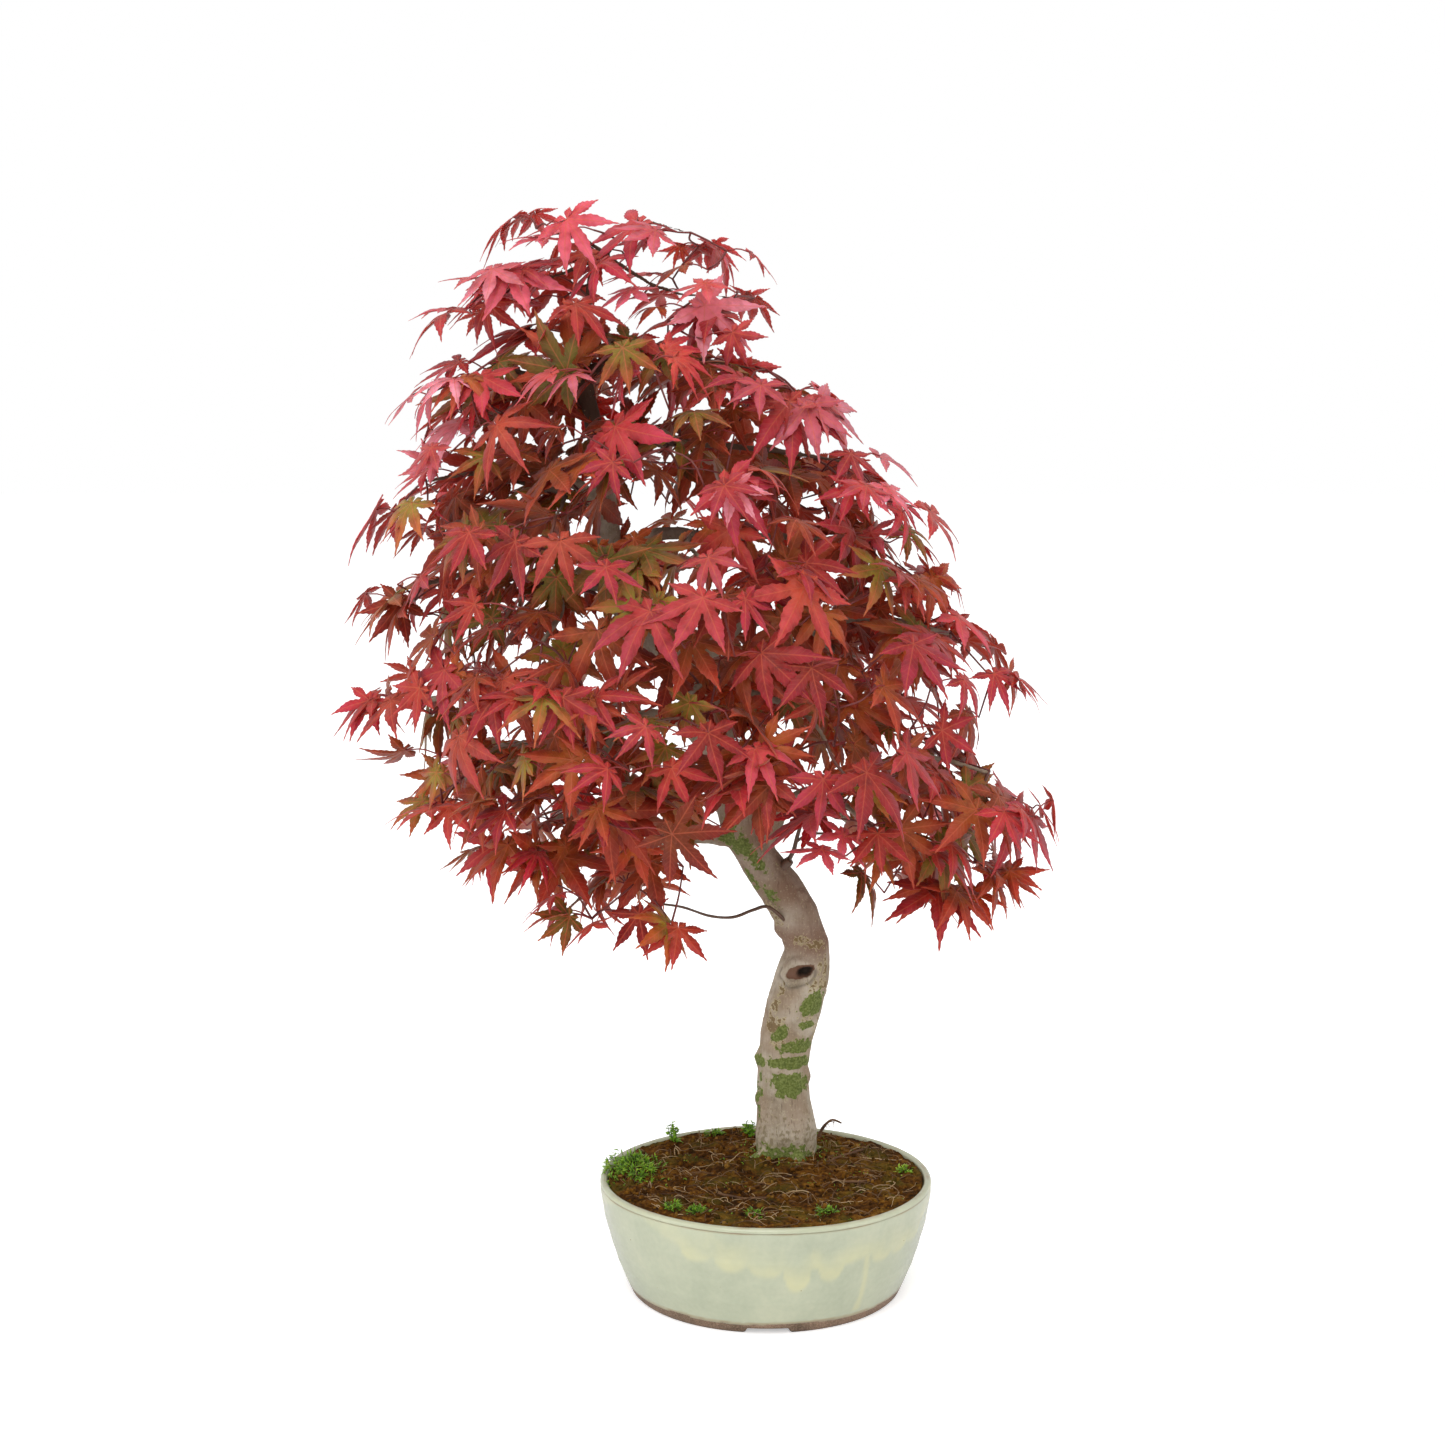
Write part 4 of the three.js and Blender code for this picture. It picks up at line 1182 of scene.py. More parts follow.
    def _features(
        self, points: Array, around: Array, height: Array, radius: Array, inside: Array
    ) -> tuple[Array, dict[str, Array]]:
        """Bark relief, knobs, wound, algae, stains, and painted shade in the wound's hollow.

        Args:
            points: places in millimetres.
            around: bearing about the trunk's centre line.
            height: height of each point.
            radius: the trunk's radius there.
            inside: 1 on the trunk, 0 on branches.

        Returns:
            How far each point moves outwards, and the values that the bark reads.
        """
        turn = np.radians(around)
        body = np.stack([np.cos(turn) * radius, np.sin(turn) * radius, height * 0.35], -1)
        lift = 0.75 * noise(points, 20.0, 31) * inside + 0.35 * noise(body, 6.0, 32) * inside
        lift += 0.12 * noise(points, 2.6, 33) + 0.2 * noise(points, 9.0, 34)
        flute = np.cos(turn * 5 + 0.6) * 0.5 + 0.5 * np.cos(turn * 3 + 2.1)
        lift += inside * 0.9 * flute * (1 - smooth_step(70, 108, height))
        for knob in self.knobs:
            across, up = self._spot(around, height, radius, knob)
            far = across**2 + up**2
            lift += inside * knob.bulge * np.exp(-1.6 * far) * (1 + 0.25 * noise(points, 3.0, 35))
            lift -= inside * 0.5 * np.exp(-14 * (np.sqrt(far) - 1.0) ** 2)
        across, up = self._spot(around, height, radius, self.wound)
        warped = np.sqrt(across**2 + up**2) + 0.1 * noise(points, 5.0, 36)
        lift += inside * self.wound.bulge * np.exp(-9 * (warped - 0.72) ** 2)
        lift -= inside * 1.1 * np.exp(-60 * (warped - 1.08) ** 2) * (0.5 + 0.5 * smooth_step(0.4, -0.6, up))
        slanted = up - 0.3 * (across - 0.3)
        hole = np.sqrt(((across - 0.46) * 2.3) ** 2 + (slanted * 3.4) ** 2) + 0.3 * noise(points, 2.4, 37)
        scar = np.sqrt(((across - 0.24) * 1.2) ** 2 + ((slanted - 0.05) * 1.9) ** 2)
        scar = inside * 0.7 * (1 - smooth_step(0.7, 1.25, scar))
        lift -= 1.3 * scar * (1 + 0.7 * noise(points, 2.0, 44))
        dark = inside * (1 - smooth_step(0.75, 1.1, hole))
        lift -= 4.0 * dark
        # Painted shade: near black inside the wound's hole, and a fainter dark line in the groove below its
        # rim.
        hollow_shade = inside * (1 - smooth_step(0.8, 1.25, hole))
        hollow_shade = np.maximum(hollow_shade, 0.45 * inside * np.exp(-90 * (warped - 1.1) ** 2) * (up < 0.2))
        warm = inside * smooth_step(186, 204, height) * (1 - 0.7 * smooth_step(250, 300, height))
        warm *= np.clip(0.75 + 0.5 * noise(points, 16.0, 42), 0, 1) * smooth_step(-0.9, 0.3, -np.sin(turn))
        rough = inside * (1 - smooth_step(76, 112, height)) + 0.4 * np.clip(noise(points, 14.0, 43), 0, 1)
        algae, stain = np.zeros(len(points)), np.zeros(len(points))
        for spots, mask in ((self.algae, algae), (self.stains, stain)):
            for spot in spots:
                across, up = self._spot(around, height, radius, spot)
                far = np.sqrt(across**2 + up**2) * (1 + 0.3 * noise(points, 6.0, 38))
                patch = inside * 0.64 * spot.strength * (1 - smooth_step(0.35, 1.6, far))
                np.maximum(mask, patch, out=mask)
        for seam in self.seams:
            tilted = height - seam - 1.2 * noise(points, 7.0, 46)
            algae -= 0.4 * np.exp(-((tilted / 1.1) ** 2)) * (algae > 0.1)
        foot = 1 - smooth_step(70, 80, height + 5 * noise(points, 9.0, 39))
        foot = foot * smooth_step(-1.2, 0.3, -np.sin(turn))
        algae = np.minimum(np.maximum(algae, 0.5 * inside * foot), 0.7)
        algae = np.maximum(algae, 0.2 * inside * smooth_step(0.1, 0.8, noise(points, 18.0, 40)))
        young = (1 - inside) * (0.35 + 0.5 * smooth_step(330, 520, height))
        young = young + 0.2 * smooth_step(470, 560, height)
        values = {"algae": algae, "stain": np.minimum(stain, 0.7), "hollow_shade": hollow_shade, "warm": warm}
        return lift, {**values, "rough": rough, "scar": scar, "young": np.clip(young, 0, 1)}


# ------------------------------------------------------------------ the leaves


class Tone(Enum):
    """The colour family that a leaf belongs to, as pairs of colours near its joint and at its tips."""

    # Painted sheen: paler pinks that stand in for the pink-white sheen on upward-facing top leaves.
    PAINTED_SHEEN = (("#cc5660", "#dc7084"), ("#d46470", "#e28898"), ("#c64a56", "#d25e72"), ("#cc5050", "#d86872"))
    # SUN and RED are lit and less lit copies of the reds: painted light and shade, partly the leaves' own
    # colour.
    SUN = (("#be3e3e", "#c04254"), ("#b43638", "#b6344a"), ("#c44848", "#c85464"), ("#ac2e30", "#b22c42"))
    RED = (("#aa3628", "#ac2c34"), ("#9e2c24", "#a62838"), ("#b24630", "#b03a3a"), ("#962c1c", "#a02630"))
    YOUNG = (("#cc3c42", "#d22e48"), ("#cc463c", "#ca2a3e"))
    # SHADE and OLIVE are the inner leaves' browner colours, made brighter to paint in light that shines
    # through them.
    SHADE = (("#9c4c1c", "#a23a24"), ("#8c461a", "#a43a24"), ("#883c16", "#922c1e"), ("#a4541e", "#ae442a"))
    OLIVE = (("#80701e", "#a45626"), ("#6a601a", "#86581e"), ("#8c7c28", "#b06230"), ("#645e1c", "#985024"))


@dataclass(frozen=True)
class LeafForm:
    """The outline of one maple leaf, as a share of its middle lobe's length."""

    lobe_turns: tuple[float, ...] = (0.0, 47.0, 97.0, 143.0)
    lobe_lengths: tuple[float, ...] = (1.0, 0.96, 0.66, 0.24)
    sinus: float = 0.24
    width: float = 0.125
    stations: int = 13
    # Half width along a lobe, from the sinus to the drawn-out tip, as a share of the widest.
    taper: tuple[tuple[float, float], ...] = (
        (0, 0.66), (0.15, 0.88), (0.32, 1.0), (0.5, 0.78), (0.66, 0.44), (0.8, 0.2), (0.91, 0.09), (1, 0),
    )
    tooth: float = 0.016
    thickness: float = 0.008
    fold: float = 0.14
    bow: float = 0.28
    spread: float = 1.0
    seed: int = 0

    def build(self) -> dict[str, Array]:
        """Lay the leaf out flat and bend it.

        Returns:
            Its points, triangles and quads as one closed thin solid, and for each point the distance
            from the lobe's midrib, the distance along it and whether it is on the underside.
        """
        rng = np.random.default_rng(self.seed)
        turns = [-t for t in self.lobe_turns[:0:-1]] + list(self.lobe_turns)
        lengths = list(self.lobe_lengths[:0:-1]) + list(self.lobe_lengths)
        points, across, along = [np.zeros(2)], [0.0], [0.0]
        lobes = []
        for turn, length in zip(turns, lengths):
            turn = math.radians(turn * self.spread + rng.normal(0, 2.0))
            lobes.append((turn, length * rng.uniform(0.92, 1.06), rng.normal(0, 0.07)))
        fans = [self._lobe(turn, length, curve, points, across, along) for turn, length, curve in lobes]
        triangles, quads = [], []
        for rows in fans:
            for low, high in zip(rows[:-1], rows[1:]):
                if len(high) == 3:
                    quads += [[low[0], low[1], high[1], high[0]], [low[1], low[2], high[2], high[1]]]
                else:
                    triangles += [[low[0], low[1], high[0]], [low[1], low[2], high[0]]]
            triangles += [[0, rows[0][1], rows[0][0]], [0, rows[0][2], rows[0][1]]]
        for left, right in zip(fans[:-1], fans[1:]):
            triangles.append([right[0][0], left[0][2], 0])
        flat, rim = np.array(points), self._rim(fans)
        return self._solid(flat, np.array(across), np.array(along), triangles, quads, rim)

    def _lobe(
        self, turn: float, length: float, curve: float,
        points: list[Array], across: list[float], along: list[float],
    ) -> list[list[int]]:
        """Add the points of one lobe.

        Args:
            turn: its direction from the middle lobe, in radians.
            length: its length.
            curve: how much it bends sideways.
            points: the leaf's points, which grow.
            across: distance of each point from the midrib, which grows with them.
            along: distance of each point along the midrib, likewise.

        Returns:
            Corner numbers in rows from the sinus to the tip: left, midrib and right, and the tip alone.
        """
        axis = np.array([math.sin(turn), math.cos(turn)])
        side = np.array([axis[1], -axis[0]])
        reach = self.sinus * min(length, 0.75) / 0.75
        rows = []
        for step, share in enumerate(np.linspace(0.0, 1.0, self.stations)):
            out = reach + (length - reach) * share
            middle = axis * out + side * curve * out * out
            if step == self.stations - 1:
                rows.append([len(points)])
                points.append(middle)
                across.append(0.0)
                along.append(out)
                break
            outline = float(np.interp(share, *zip(*self.taper)))
            half = self.width * (0.5 + 0.5 * min(length, 1)) * outline
            tooth = self.tooth * (1 if step % 2 else -0.3) * (share > 0.08) * (1 - share) ** 0.3
            ahead = axis * max(tooth, 0) * 0.9
            rows.append([len(points) + corner for corner in range(3)])
            for sign in (-1, 0, 1):
                points.append(middle + sign * side * (half + tooth) + (ahead if sign else 0))
                across.append(abs(sign) * (half + tooth))
                along.append(out)
        return rows

    def _rim(self, fans: list[list[list[int]]]) -> list[int]:
        """Corner numbers round the outline, in order."""
        rim = [0]
        for rows in fans:
            rim += [row[0] for row in rows] + [row[2] for row in rows[-2::-1]]
        return rim

    def _solid(
        self, flat: Array, across: Array, along: Array, triangles: list[list[int]], quads: list[list[int]],
        rim: list[int],
    ) -> dict[str, Array]:
        """Bend the flat outline and close it with an underside."""
        reach = np.hypot(flat[:, 0], flat[:, 1])
        height = self.fold * across - self.bow * reach**2 + 0.05 * self.fold * reach
        height += 0.02 * np.sin(7 * flat[:, 0] + self.seed) + 0.02 * np.sin(6 * flat[:, 1] + 2 * self.seed)
        top = np.column_stack([flat, height])
        count = len(top)
        points = np.concatenate([top, top - [0, 0, self.thickness]])
        under = np.array(triangles)[:, ::-1] + count
        under_quads = np.array(quads)[:, ::-1] + count
        edge = np.array([[a, b, b + count, a + count] for a, b in zip(rim, rim[1:] + rim[:1])])
        return {
            "points": points,
            "triangles": np.concatenate([triangles, under]),
            "quads": np.concatenate([quads, under_quads, edge]),
            "across": np.concatenate([across, across]),
            "along": np.concatenate([along, along]),
            "under": np.concatenate([np.zeros(count), np.ones(count)]),
        }


@dataclass
class Crown:
    """The outline that the leaf tips keep to, narrower from front to back than across."""

    # Height, and the leftmost and rightmost place across, from the top down.
    rows: tuple[tuple[float, float, float], ...] = (
        (652, -124, -80), (634, -155, -36), (602, -182, -2), (560, -212, 16), (520, -214, 46),
        (480, -226, 90), (440, -236, 112), (400, -250, 138), (365, -250, 152), (330, -258, 140),
        (298, -228, 168), (263, -194, 178), (235, -190, 166), (212, -150, 130), (195, -110, 100),
    )
    # Place across and the lowest leaf tip there: the trunk stands free between two low sprays.
    skirt: tuple[tuple[float, float], ...] = (
        (-260, 330), (-228, 290), (-195, 245), (-160, 222), (-110, 214), (-62, 212), (-38, 228), (-22, 275),
        (0, 286), (24, 292), (38, 282), (52, 250), (68, 226), (112, 220), (150, 232), (178, 256), (200, 280),
    )
    depth_share: float = 0.68
    middle_y: float = 6.0

    def overshoot(self, point: Array) -> float:
        """How many millimetres a point stands outside the crown, or a negative number inside."""
        heights, left, right = np.array(self.rows[::-1]).T
        low, high = np.interp(point[2], heights, left), np.interp(point[2], heights, right)
        half = (high - low) / 2
        sideways = (point[0] - (low + high) / 2) / half
        share = math.hypot(sideways, (point[1] - self.middle_y) / (half * self.depth_share))
        below = float(np.interp(point[0], *zip(*self.skirt))) - point[2]
        beyond = max(0.0, point[2] - heights[-1], below)
        return max((share - 1) * half + 2 * beyond, below)

    def inside(self, rng: np.random.Generator, deepest: float) -> Array:
        """A random point in the outer part of the crown."""
        while True:
            height = 215 + 420 * rng.random() ** 0.75
            point = np.array([rng.uniform(-260, 180), rng.uniform(-150, 160), height])
            if -deepest < self.overshoot(point) < -16:
                return point


@dataclass
class Blade:
    """One placed leaf: where its stalk joins it, its own axes and its size."""

    joint: Array
    tip: Array
    normal: Array
    size: float

    @property
    def middle(self) -> Array:
        """The middle of the blade."""
        return self.joint + self.tip * self.size * 0.42

    def place(self, form: dict[str, Array]) -> Array:
        """Points of a leaf form at this place."""
        side = np.cross(self.tip, self.normal)
        axes = np.stack([side, self.tip, self.normal])
        return self.joint + form["points"] @ axes * self.size


@dataclass
class Foliage:
    """All leaves with their twigs: layered sprays, older leaves along the branches, and fillers."""

    node_spacing: float = 25.5
    shrink: float = 0.64
    leaf_sizes: tuple[float, float] = (24.0, 44.0)
    stalk_lengths: tuple[float, float] = (10.0, 24.0)
    tries: int = 10
    inner_leaves: int = 110
    filler_leaves: int = 215
    filler_tries: int = 6000
    most_outside: float = 2.2
    # How crowded a leaf beside the wood and one between the sprays may stand.
    inner_crowding: float = 1.6
    filler_crowding: float = 0.85
    # Distance to a twig node within which a leaf between the sprays can grow.
    filler_reach: tuple[float, float] = (12.0, 62.0)
    # Leaves of a spray are spaced by spray_gap from this many earlier ones, all others by open_gap.
    neighbours: int = 260
    spray_gap: float = 34.0
    open_gap: float = 30.0
    lowest_inner: float = 330.0
    crown: Crown = field(default_factory=Crown)
    # Bare twigs low on the trunk: radius at the foot, then the places along each.
    low_twigs: tuple[tuple[float, Places], ...] = (
        (1.25, ((15, 32, 214), (10, 23, 222), (1, 17, 230), (-8, 12, 229), (-20, 6, 226), (-34, -4, 229),
                (-50, -12, 236), (-66, -20, 240))),
        (5.0, ((2, 33, 243), (9, 28, 251), (15, 26, 257))),
        (1.5, ((13, 27, 255), (17, 26, 263), (19, 26, 271), (23, 25, 285), (27, 24, 302))),
        (0.95, ((18, 26, 268), (26, 24, 273), (37, 22, 274), (52, 19, 273), (72, 15, 277))),
    )
    nodes: list[Array] = field(default_factory=list)
    forms: int = 10
    seed: int = 11
    shoots: Shape = field(default_factory=Shape)
    blades: list[Blade] = field(default_factory=list)

    def build(self) -> None:
        """Make the leaves of every spray, the inner leaves and the twigs that carry them all."""
        self.rng = np.random.default_rng(self.seed)
        spreads = self.rng.uniform(0.9, 1.08, self.forms)
        self.open_forms = [
            LeafForm(
                fold=self.rng.uniform(0.05, 0.24), bow=self.rng.uniform(0.12, 0.42), spread=spread,
                width=self.rng.uniform(0.112, 0.136), seed=index,
            ).build()
            for index, spread in enumerate(spreads)
        ]
        self.young_forms = [
            LeafForm(fold=0.5, bow=0.5, spread=0.62, width=0.085, seed=50 + index).build()
            for index in range(3)
        ]
        self.material = MapleLeaf().build()
        wood = mesh_points(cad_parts["trunk_and_branches"].data)
        self.wood = wood[wood[:, 2] > 200]
        self.wood_tree = KDTree(len(self.wood))
        for index, point in enumerate(self.wood):
            self.wood_tree.insert(point, index)
        self.wood_tree.balance()
        self.top = node_box("trunk_and_branches")[1][2]
        for name in sorted(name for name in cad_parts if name.startswith("spray_")):
            self._spray(name)
        self._inner()
        self._fill()
        for radius, places in self.low_twigs:
            path = curve_through([np.array(place, float) for place in places], 6 * len(places))
            radii = np.linspace(radius, radius * 0.55, len(path)) * (1 + 0.12 * noise(path, 5.0, 47))
            self.shoots.add_tube(path, radii, 8, age=0.9)
        finish_piece(self.shoots.build("shoots_and_stalks"), YoungShoot().build())
        LOG.info("foliage: %d leaves", len(self.blades))

    def _spray(self, name: str) -> None:
        """Fill one spray: twig nodes under its dome, and leaves in pairs at each of them."""
        corners, tree = node_surface(name)
        middle = (corners.min(0) + corners.max(0)) / 2
        centre = np.array([*middle[:2], self._dome(tree, *middle[:2]) or middle[2]])
        nodes = self._nodes(tree, corners, centre)
        _, start, _ = self.wood_tree.find(Vector(centre))
        root = self.wood[start]
        parents, order = self._join(root, nodes)
        self.nodes.extend(nodes)
        leaves = Shape()
        carried = [0] * len(nodes)
        for index, node in enumerate(nodes):
            base = root if parents[index] < 0 else nodes[parents[index]]
            ahead = unit(node - base)
            last = index not in parents
            count = 4 if last else 2 + int(self.rng.random() < 0.35)
            carried[index] = self._whorl(leaves, node, ahead, centre, count, last)
        self._draw_twig(root, nodes, parents, order, carried)
        piece = leaves.build(f"leaves_{name.removeprefix('spray_')}")
        finish_piece(piece, self.material, [name])

    def _dome(self, tree: BVHTree, x: float, y: float) -> float | None:
        """Height of a spray's upper side at a place, or nothing outside it."""
        return height_on(tree, x, y, 2000.0)

    def _nodes(self, tree: BVHTree, corners: Array, centre: Array) -> list[Array]:
        """Places of the twig nodes: evenly spread inside the spray's outline, a little under the dome."""
        low, high = corners.min(0), corners.max(0)
        nodes: list[Array] = []
        for _ in range(900):
            x, y = self.rng.uniform(low[:2], high[:2])
            wide = centre[:2] + (np.array([x, y]) - centre[:2]) / self.shrink
            height = self._dome(tree, x, y)
            if height is None or self._dome(tree, *wide) is None:
                continue
            place = np.array([x, y, height - self.rng.uniform(-5, 18) + 12 * smooth_step(590, 620, height)])
            free = all(np.hypot(*(place - other)[:2]) > self.node_spacing for other in nodes)
            if free and self.crown.overshoot(place) < -2:
                nodes.append(place)
        return nodes

    def _join(self, root: Array, nodes: list[Array]) -> tuple[list[int], list[int]]:
        """Join the nodes into a branching twig.

        Args:
            root: where the twig leaves the wood.
            nodes: the places that it reaches.

        Returns:
            For each node the number of the one before it, or -1 for the root, and the nodes in
            the order in which the twig reaches them.
        """
        parents = [-2] * len(nodes)
        order: list[int] = []
        while len(order) < len(nodes):
            best = None
            for index, node in enumerate(nodes):
                if parents[index] != -2:
                    continue
                for other in [-1, *order]:
                    base = root if other < 0 else nodes[other]
                    detour = 0.35 * np.linalg.norm(base - root)
                    length = np.linalg.norm(node - base) + detour * (0.6 if other >= 0 else 1)
                    if best is None or length < best[0]:
                        best = (length, index, other)
            _, index, other = best
            parents[index] = other
            order.append(index)
        return parents, order

    def _draw_twig(
        self, root: Array, nodes: list[Array], parents: list[int], order: list[int], carried: list[int]
    ) -> None:
        """Draw the parts of a twig that lead to leaves.

        Args:
            root: where the twig leaves the wood.
            nodes: the places that it reaches.
            parents: for each node the one before it.
            order: the nodes from the root outwards.
            carried: how many leaves each node holds itself.
        """
        carried = [min(count, 1) for count in carried]
        for index in reversed(order):
            if parents[index] >= 0:
                carried[parents[index]] += carried[index]
        for index in order:
            if not carried[index]:
                continue
            base = root if parents[index] < 0 else nodes[parents[index]]
            thick = 0.52 * carried[index] ** 0.42
            start = thick * 1.15 if parents[index] >= 0 else thick * 1.3
            length = np.linalg.norm(nodes[index] - base)
            middle = (base + nodes[index]) / 2 + self.rng.normal(0, 0.05, 3) * length + UP * 0.04 * length
            path = curve_through([base, middle, nodes[index]], 7)
            age = min(1.0, 0.25 + 0.13 * carried[index])
            self.shoots.add_tube(path, np.linspace(start, thick, 7), 6, age=age)

    def _best(
        self, draw: Callable[[], tuple[Blade, Array]], crowding: Callable[[Blade], float]
    ) -> tuple[float, Blade, Array]:
        """The roomiest of several tries at a leaf: how crowded it stands, its blade and its stalk."""
        best = None
        for _ in range(self.tries):
            blade, path = draw()
            crowd = crowding(blade) + self._outside(blade)
            if best is None or crowd < best[0]:
                best = (crowd, blade, path)
        return best

    def _whorl(self, leaves: Shape, node: Array, ahead: Array, centre: Array, count: int, last: bool) -> int:
        """Set leaves at one node, in a pair to both sides and the rest ahead, and count them."""
        start = self.rng.uniform(-0.3, 0.3)
        angles = [70, -70, 18, -24, 0][:count] if last else [85, -85, 40][:count]
        made = 0
        for angle in angles:
            turn = math.radians(angle) + start
            _, blade, path = self._best(lambda: self._candidate(node, ahead, centre, turn), self._crowding)
            if self._outside(blade) < self.most_outside:
                self._set(leaves, blade, path, self._tone(blade))
                made += 1
        return made

    def _candidate(self, node: Array, ahead: Array, centre: Array, angle: float) -> tuple[Blade, Array]:
        """Draw up one possible leaf at a node.

        Args:
            node: where its stalk starts.
            ahead: direction of the twig.
            centre: middle of the spray.
            angle: turn of the stalk from the twig's direction, seen from above.

        Returns:
            The blade, and the points of its stalk.
        """
        rng = self.rng
        angle += rng.normal(0, 0.35)
        flat = unit(np.array([ahead[0], ahead[1], 0.0]) + 1e-6)
        turned = np.array([flat[0] * math.cos(angle) - flat[1] * math.sin(angle),
                           flat[0] * math.sin(angle) + flat[1] * math.cos(angle), 0.0])
        outward = unit(np.array([node[0] + 40, node[1] - 25, 0.0]) * 0.008 + unit(node - centre) * [1, 1, 0])
        low, high = self.stalk_lengths
        length = rng.uniform(low, high)
        heading = unit(turned + 0.45 * outward + UP * rng.uniform(-0.05, 0.45))
        joint = node + heading * length - UP * 0.08 * length
        path = curve_through([node, node + heading * length * 0.5 + UP * 1.2, joint], 6)
        lofty = float(smooth_step(430, 600, node[2]))
        droop = rng.uniform(0.15, 1.35) - 0.4 * lofty
        tip = unit(0.75 * turned + 0.8 * outward + rng.normal(0, 0.25, 3) - UP * droop)
        facing = (0.65 + 0.6 * lofty) * UP + 0.7 * outward - 0.25 * np.array([0, 1, 0])
        facing = unit(facing + rng.normal(0, 0.36, 3))
        normal = unit(facing - tip * (facing @ tip))
        small, large = self.leaf_sizes
        size = small + (large - small) * rng.random() ** 1.1 - 3 * smooth_step(560, 630, node[2])
        return Blade(joint, tip, normal, size), path

    def _crowding(self, blade: Blade) -> float:
        """How much a blade would lie in the latest ones, most of all in those beside its own plane."""
        if not self.blades:
            return 0.0
        others = np.array([other.middle for other in self.blades[-self.neighbours :]])
        away = others - blade.middle
        across = np.abs(away @ blade.normal)
        gap = np.sqrt((away**2).sum(axis=1) + 1.5 * across**2)
        return float(np.clip(1 - gap / self.spray_gap, 0, None).sum())

    def _outside(self, blade: Blade) -> float:
        """A penalty for leaf tips that stand out of the crown."""
        side = np.cross(blade.tip, blade.normal) * 0.8
        ends = (blade.tip, unit(blade.tip + side), unit(blade.tip - side))
        far = max(self.crown.overshoot(blade.joint + end * blade.size) for end in ends)
        return 0.12 * max(0.0, far)

    def _tone(self, blade: Blade) -> Tone:
        """The colour family of a leaf, from a score of how much light falls on it: the pink family and the
        brighter reds outside, on top and facing up are painted sheen and painted light, and the browner
        families inside and low are partly painted shade, partly the older leaves' own colour.
        """
        height = (blade.middle[2] - 300) / 340
        depth = -self.crown.overshoot(blade.middle)
        # Painted light: the score rises with height and with an upward-facing blade, and falls deeper in the
        # crown.
        light = 0.36 + 0.44 * height - 0.011 * depth + 0.1 * blade.normal[2] + self.rng.normal(0, 0.2)
        mellow = smooth_step(60, -60, blade.middle[0]) * smooth_step(0.75, 0.45, height)
        light -= 0.2 * mellow * self.rng.random()
        chance = self.rng.random()
        if chance < 0.015 + 0.12 * mellow + 0.26 * smooth_step(15, 50, depth) * (height < 0.8):
            return Tone.OLIVE
        if chance > 0.97 - 0.06 * max(height, 0) and depth < 40:
            return Tone.YOUNG
        # Painted sheen: well lit, upward-facing leaves get the paler pink family.
        if light > 0.72 - 0.18 * height and blade.normal[2] > 0.3:
            return Tone.PAINTED_SHEEN
        if light > 0.36:
            return Tone.SUN
        return Tone.RED if light > 0.11 else Tone.SHADE

    def _set(self, leaves: Shape, blade: Blade, path: Array, tone: Tone) -> None:
        """Add a leaf and its stalk."""
        young = tone is Tone.YOUNG and self.rng.random() < 0.6
        forms = self.young_forms if young else self.open_forms
        form = forms[self.rng.integers(len(forms))]
        if young:
            blade.size *= 0.72
        near, far = (np.array(linear(end)) for end in tone.value[self.rng.integers(len(tone.value))])
        share = smooth_step(0.15, self.rng.uniform(0.5, 0.95), form["along"])[:, None]
        shade = (near + (far - near) * share) * self.rng.uniform(0.8, 1.25)
        shade[:, 3] = 1.0
        leaves.add(
            blade.place(form), [form["triangles"], form["quads"]], leaf_colour=shade,
            rib_mm=form["across"] * blade.size, run_mm=form["along"] * blade.size, under=form["under"],
        )
        self.shoots.add_tube(path, np.linspace(0.5, 0.4, len(path)), 5, age=0.0)
        self.blades.append(blade)

    def _inner(self) -> None:
        """Older leaves on short twigs close to the branches, which close the gaps between the sprays."""
        leaves = Shape()
        chosen = self.wood[self.rng.permutation(len(self.wood))]
        made = 0
        for point in chosen:
            if made >= self.inner_leaves:
                break
            if point[2] < self.lowest_inner or point[2] > self.top - 5:
                continue
            outward = np.array([point[0] + 30, point[1] - 30, 0.0])
            outward = unit(outward + self.rng.normal(0, 30, 3) * [1, 1, 0])
            node = point + outward * self.rng.uniform(4, 16) + UP * self.rng.uniform(-8, 10)
            crowd, blade, path = self._best(
                lambda: self._candidate(node, outward, point, self.rng.uniform(-1.2, 1.2)), self._crowding_all
            )
            if crowd > self.inner_crowding:
                continue
            course = curve_through([point, (point + node) / 2 + UP, node], 5)
            self.shoots.add_tube(course, np.linspace(0.8, 0.6, 5), 6, age=0.5)
            self._set(leaves, blade, path, self._tone(blade))
            made += 1
        finish_piece(leaves.build("leaves_inner"), self.material)

    def _fill(self) -> None:
        """Leaves on side twigs that rise or hang between the sprays, where there is room for them."""
        leaves = Shape()
        made = 0
        for _ in range(self.filler_tries):
            if made >= self.filler_leaves:
                break
            node = self.crown.inside(self.rng, 75.0)
            known = np.array(self.nodes)
            away = np.linalg.norm(known - node, axis=1)
            nearest = int(away.argmin())
            if not self.filler_reach[0] < away[nearest] < self.filler_reach[1]:
                continue
            base = known[nearest]
            ahead = unit(node - base)
            axis = node * [0, 0, 1]
            crowd, blade, path = self._best(
                lambda: self._candidate(node, ahead, axis, self.rng.uniform(-1.5, 1.5)), self._crowding_all
            )
            if crowd > self.filler_crowding:
                continue
            course = curve_through([base, (base + node) / 2 + self.rng.normal(0, 1.5, 3), node], 6)
            self.shoots.add_tube(course, np.linspace(0.75, 0.5, 6), 6, age=0.35)
            self._set(leaves, blade, path, self._tone(blade))
            self.nodes.append(node)
            made += 1
        finish_piece(leaves.build("leaves_between"), self.material)

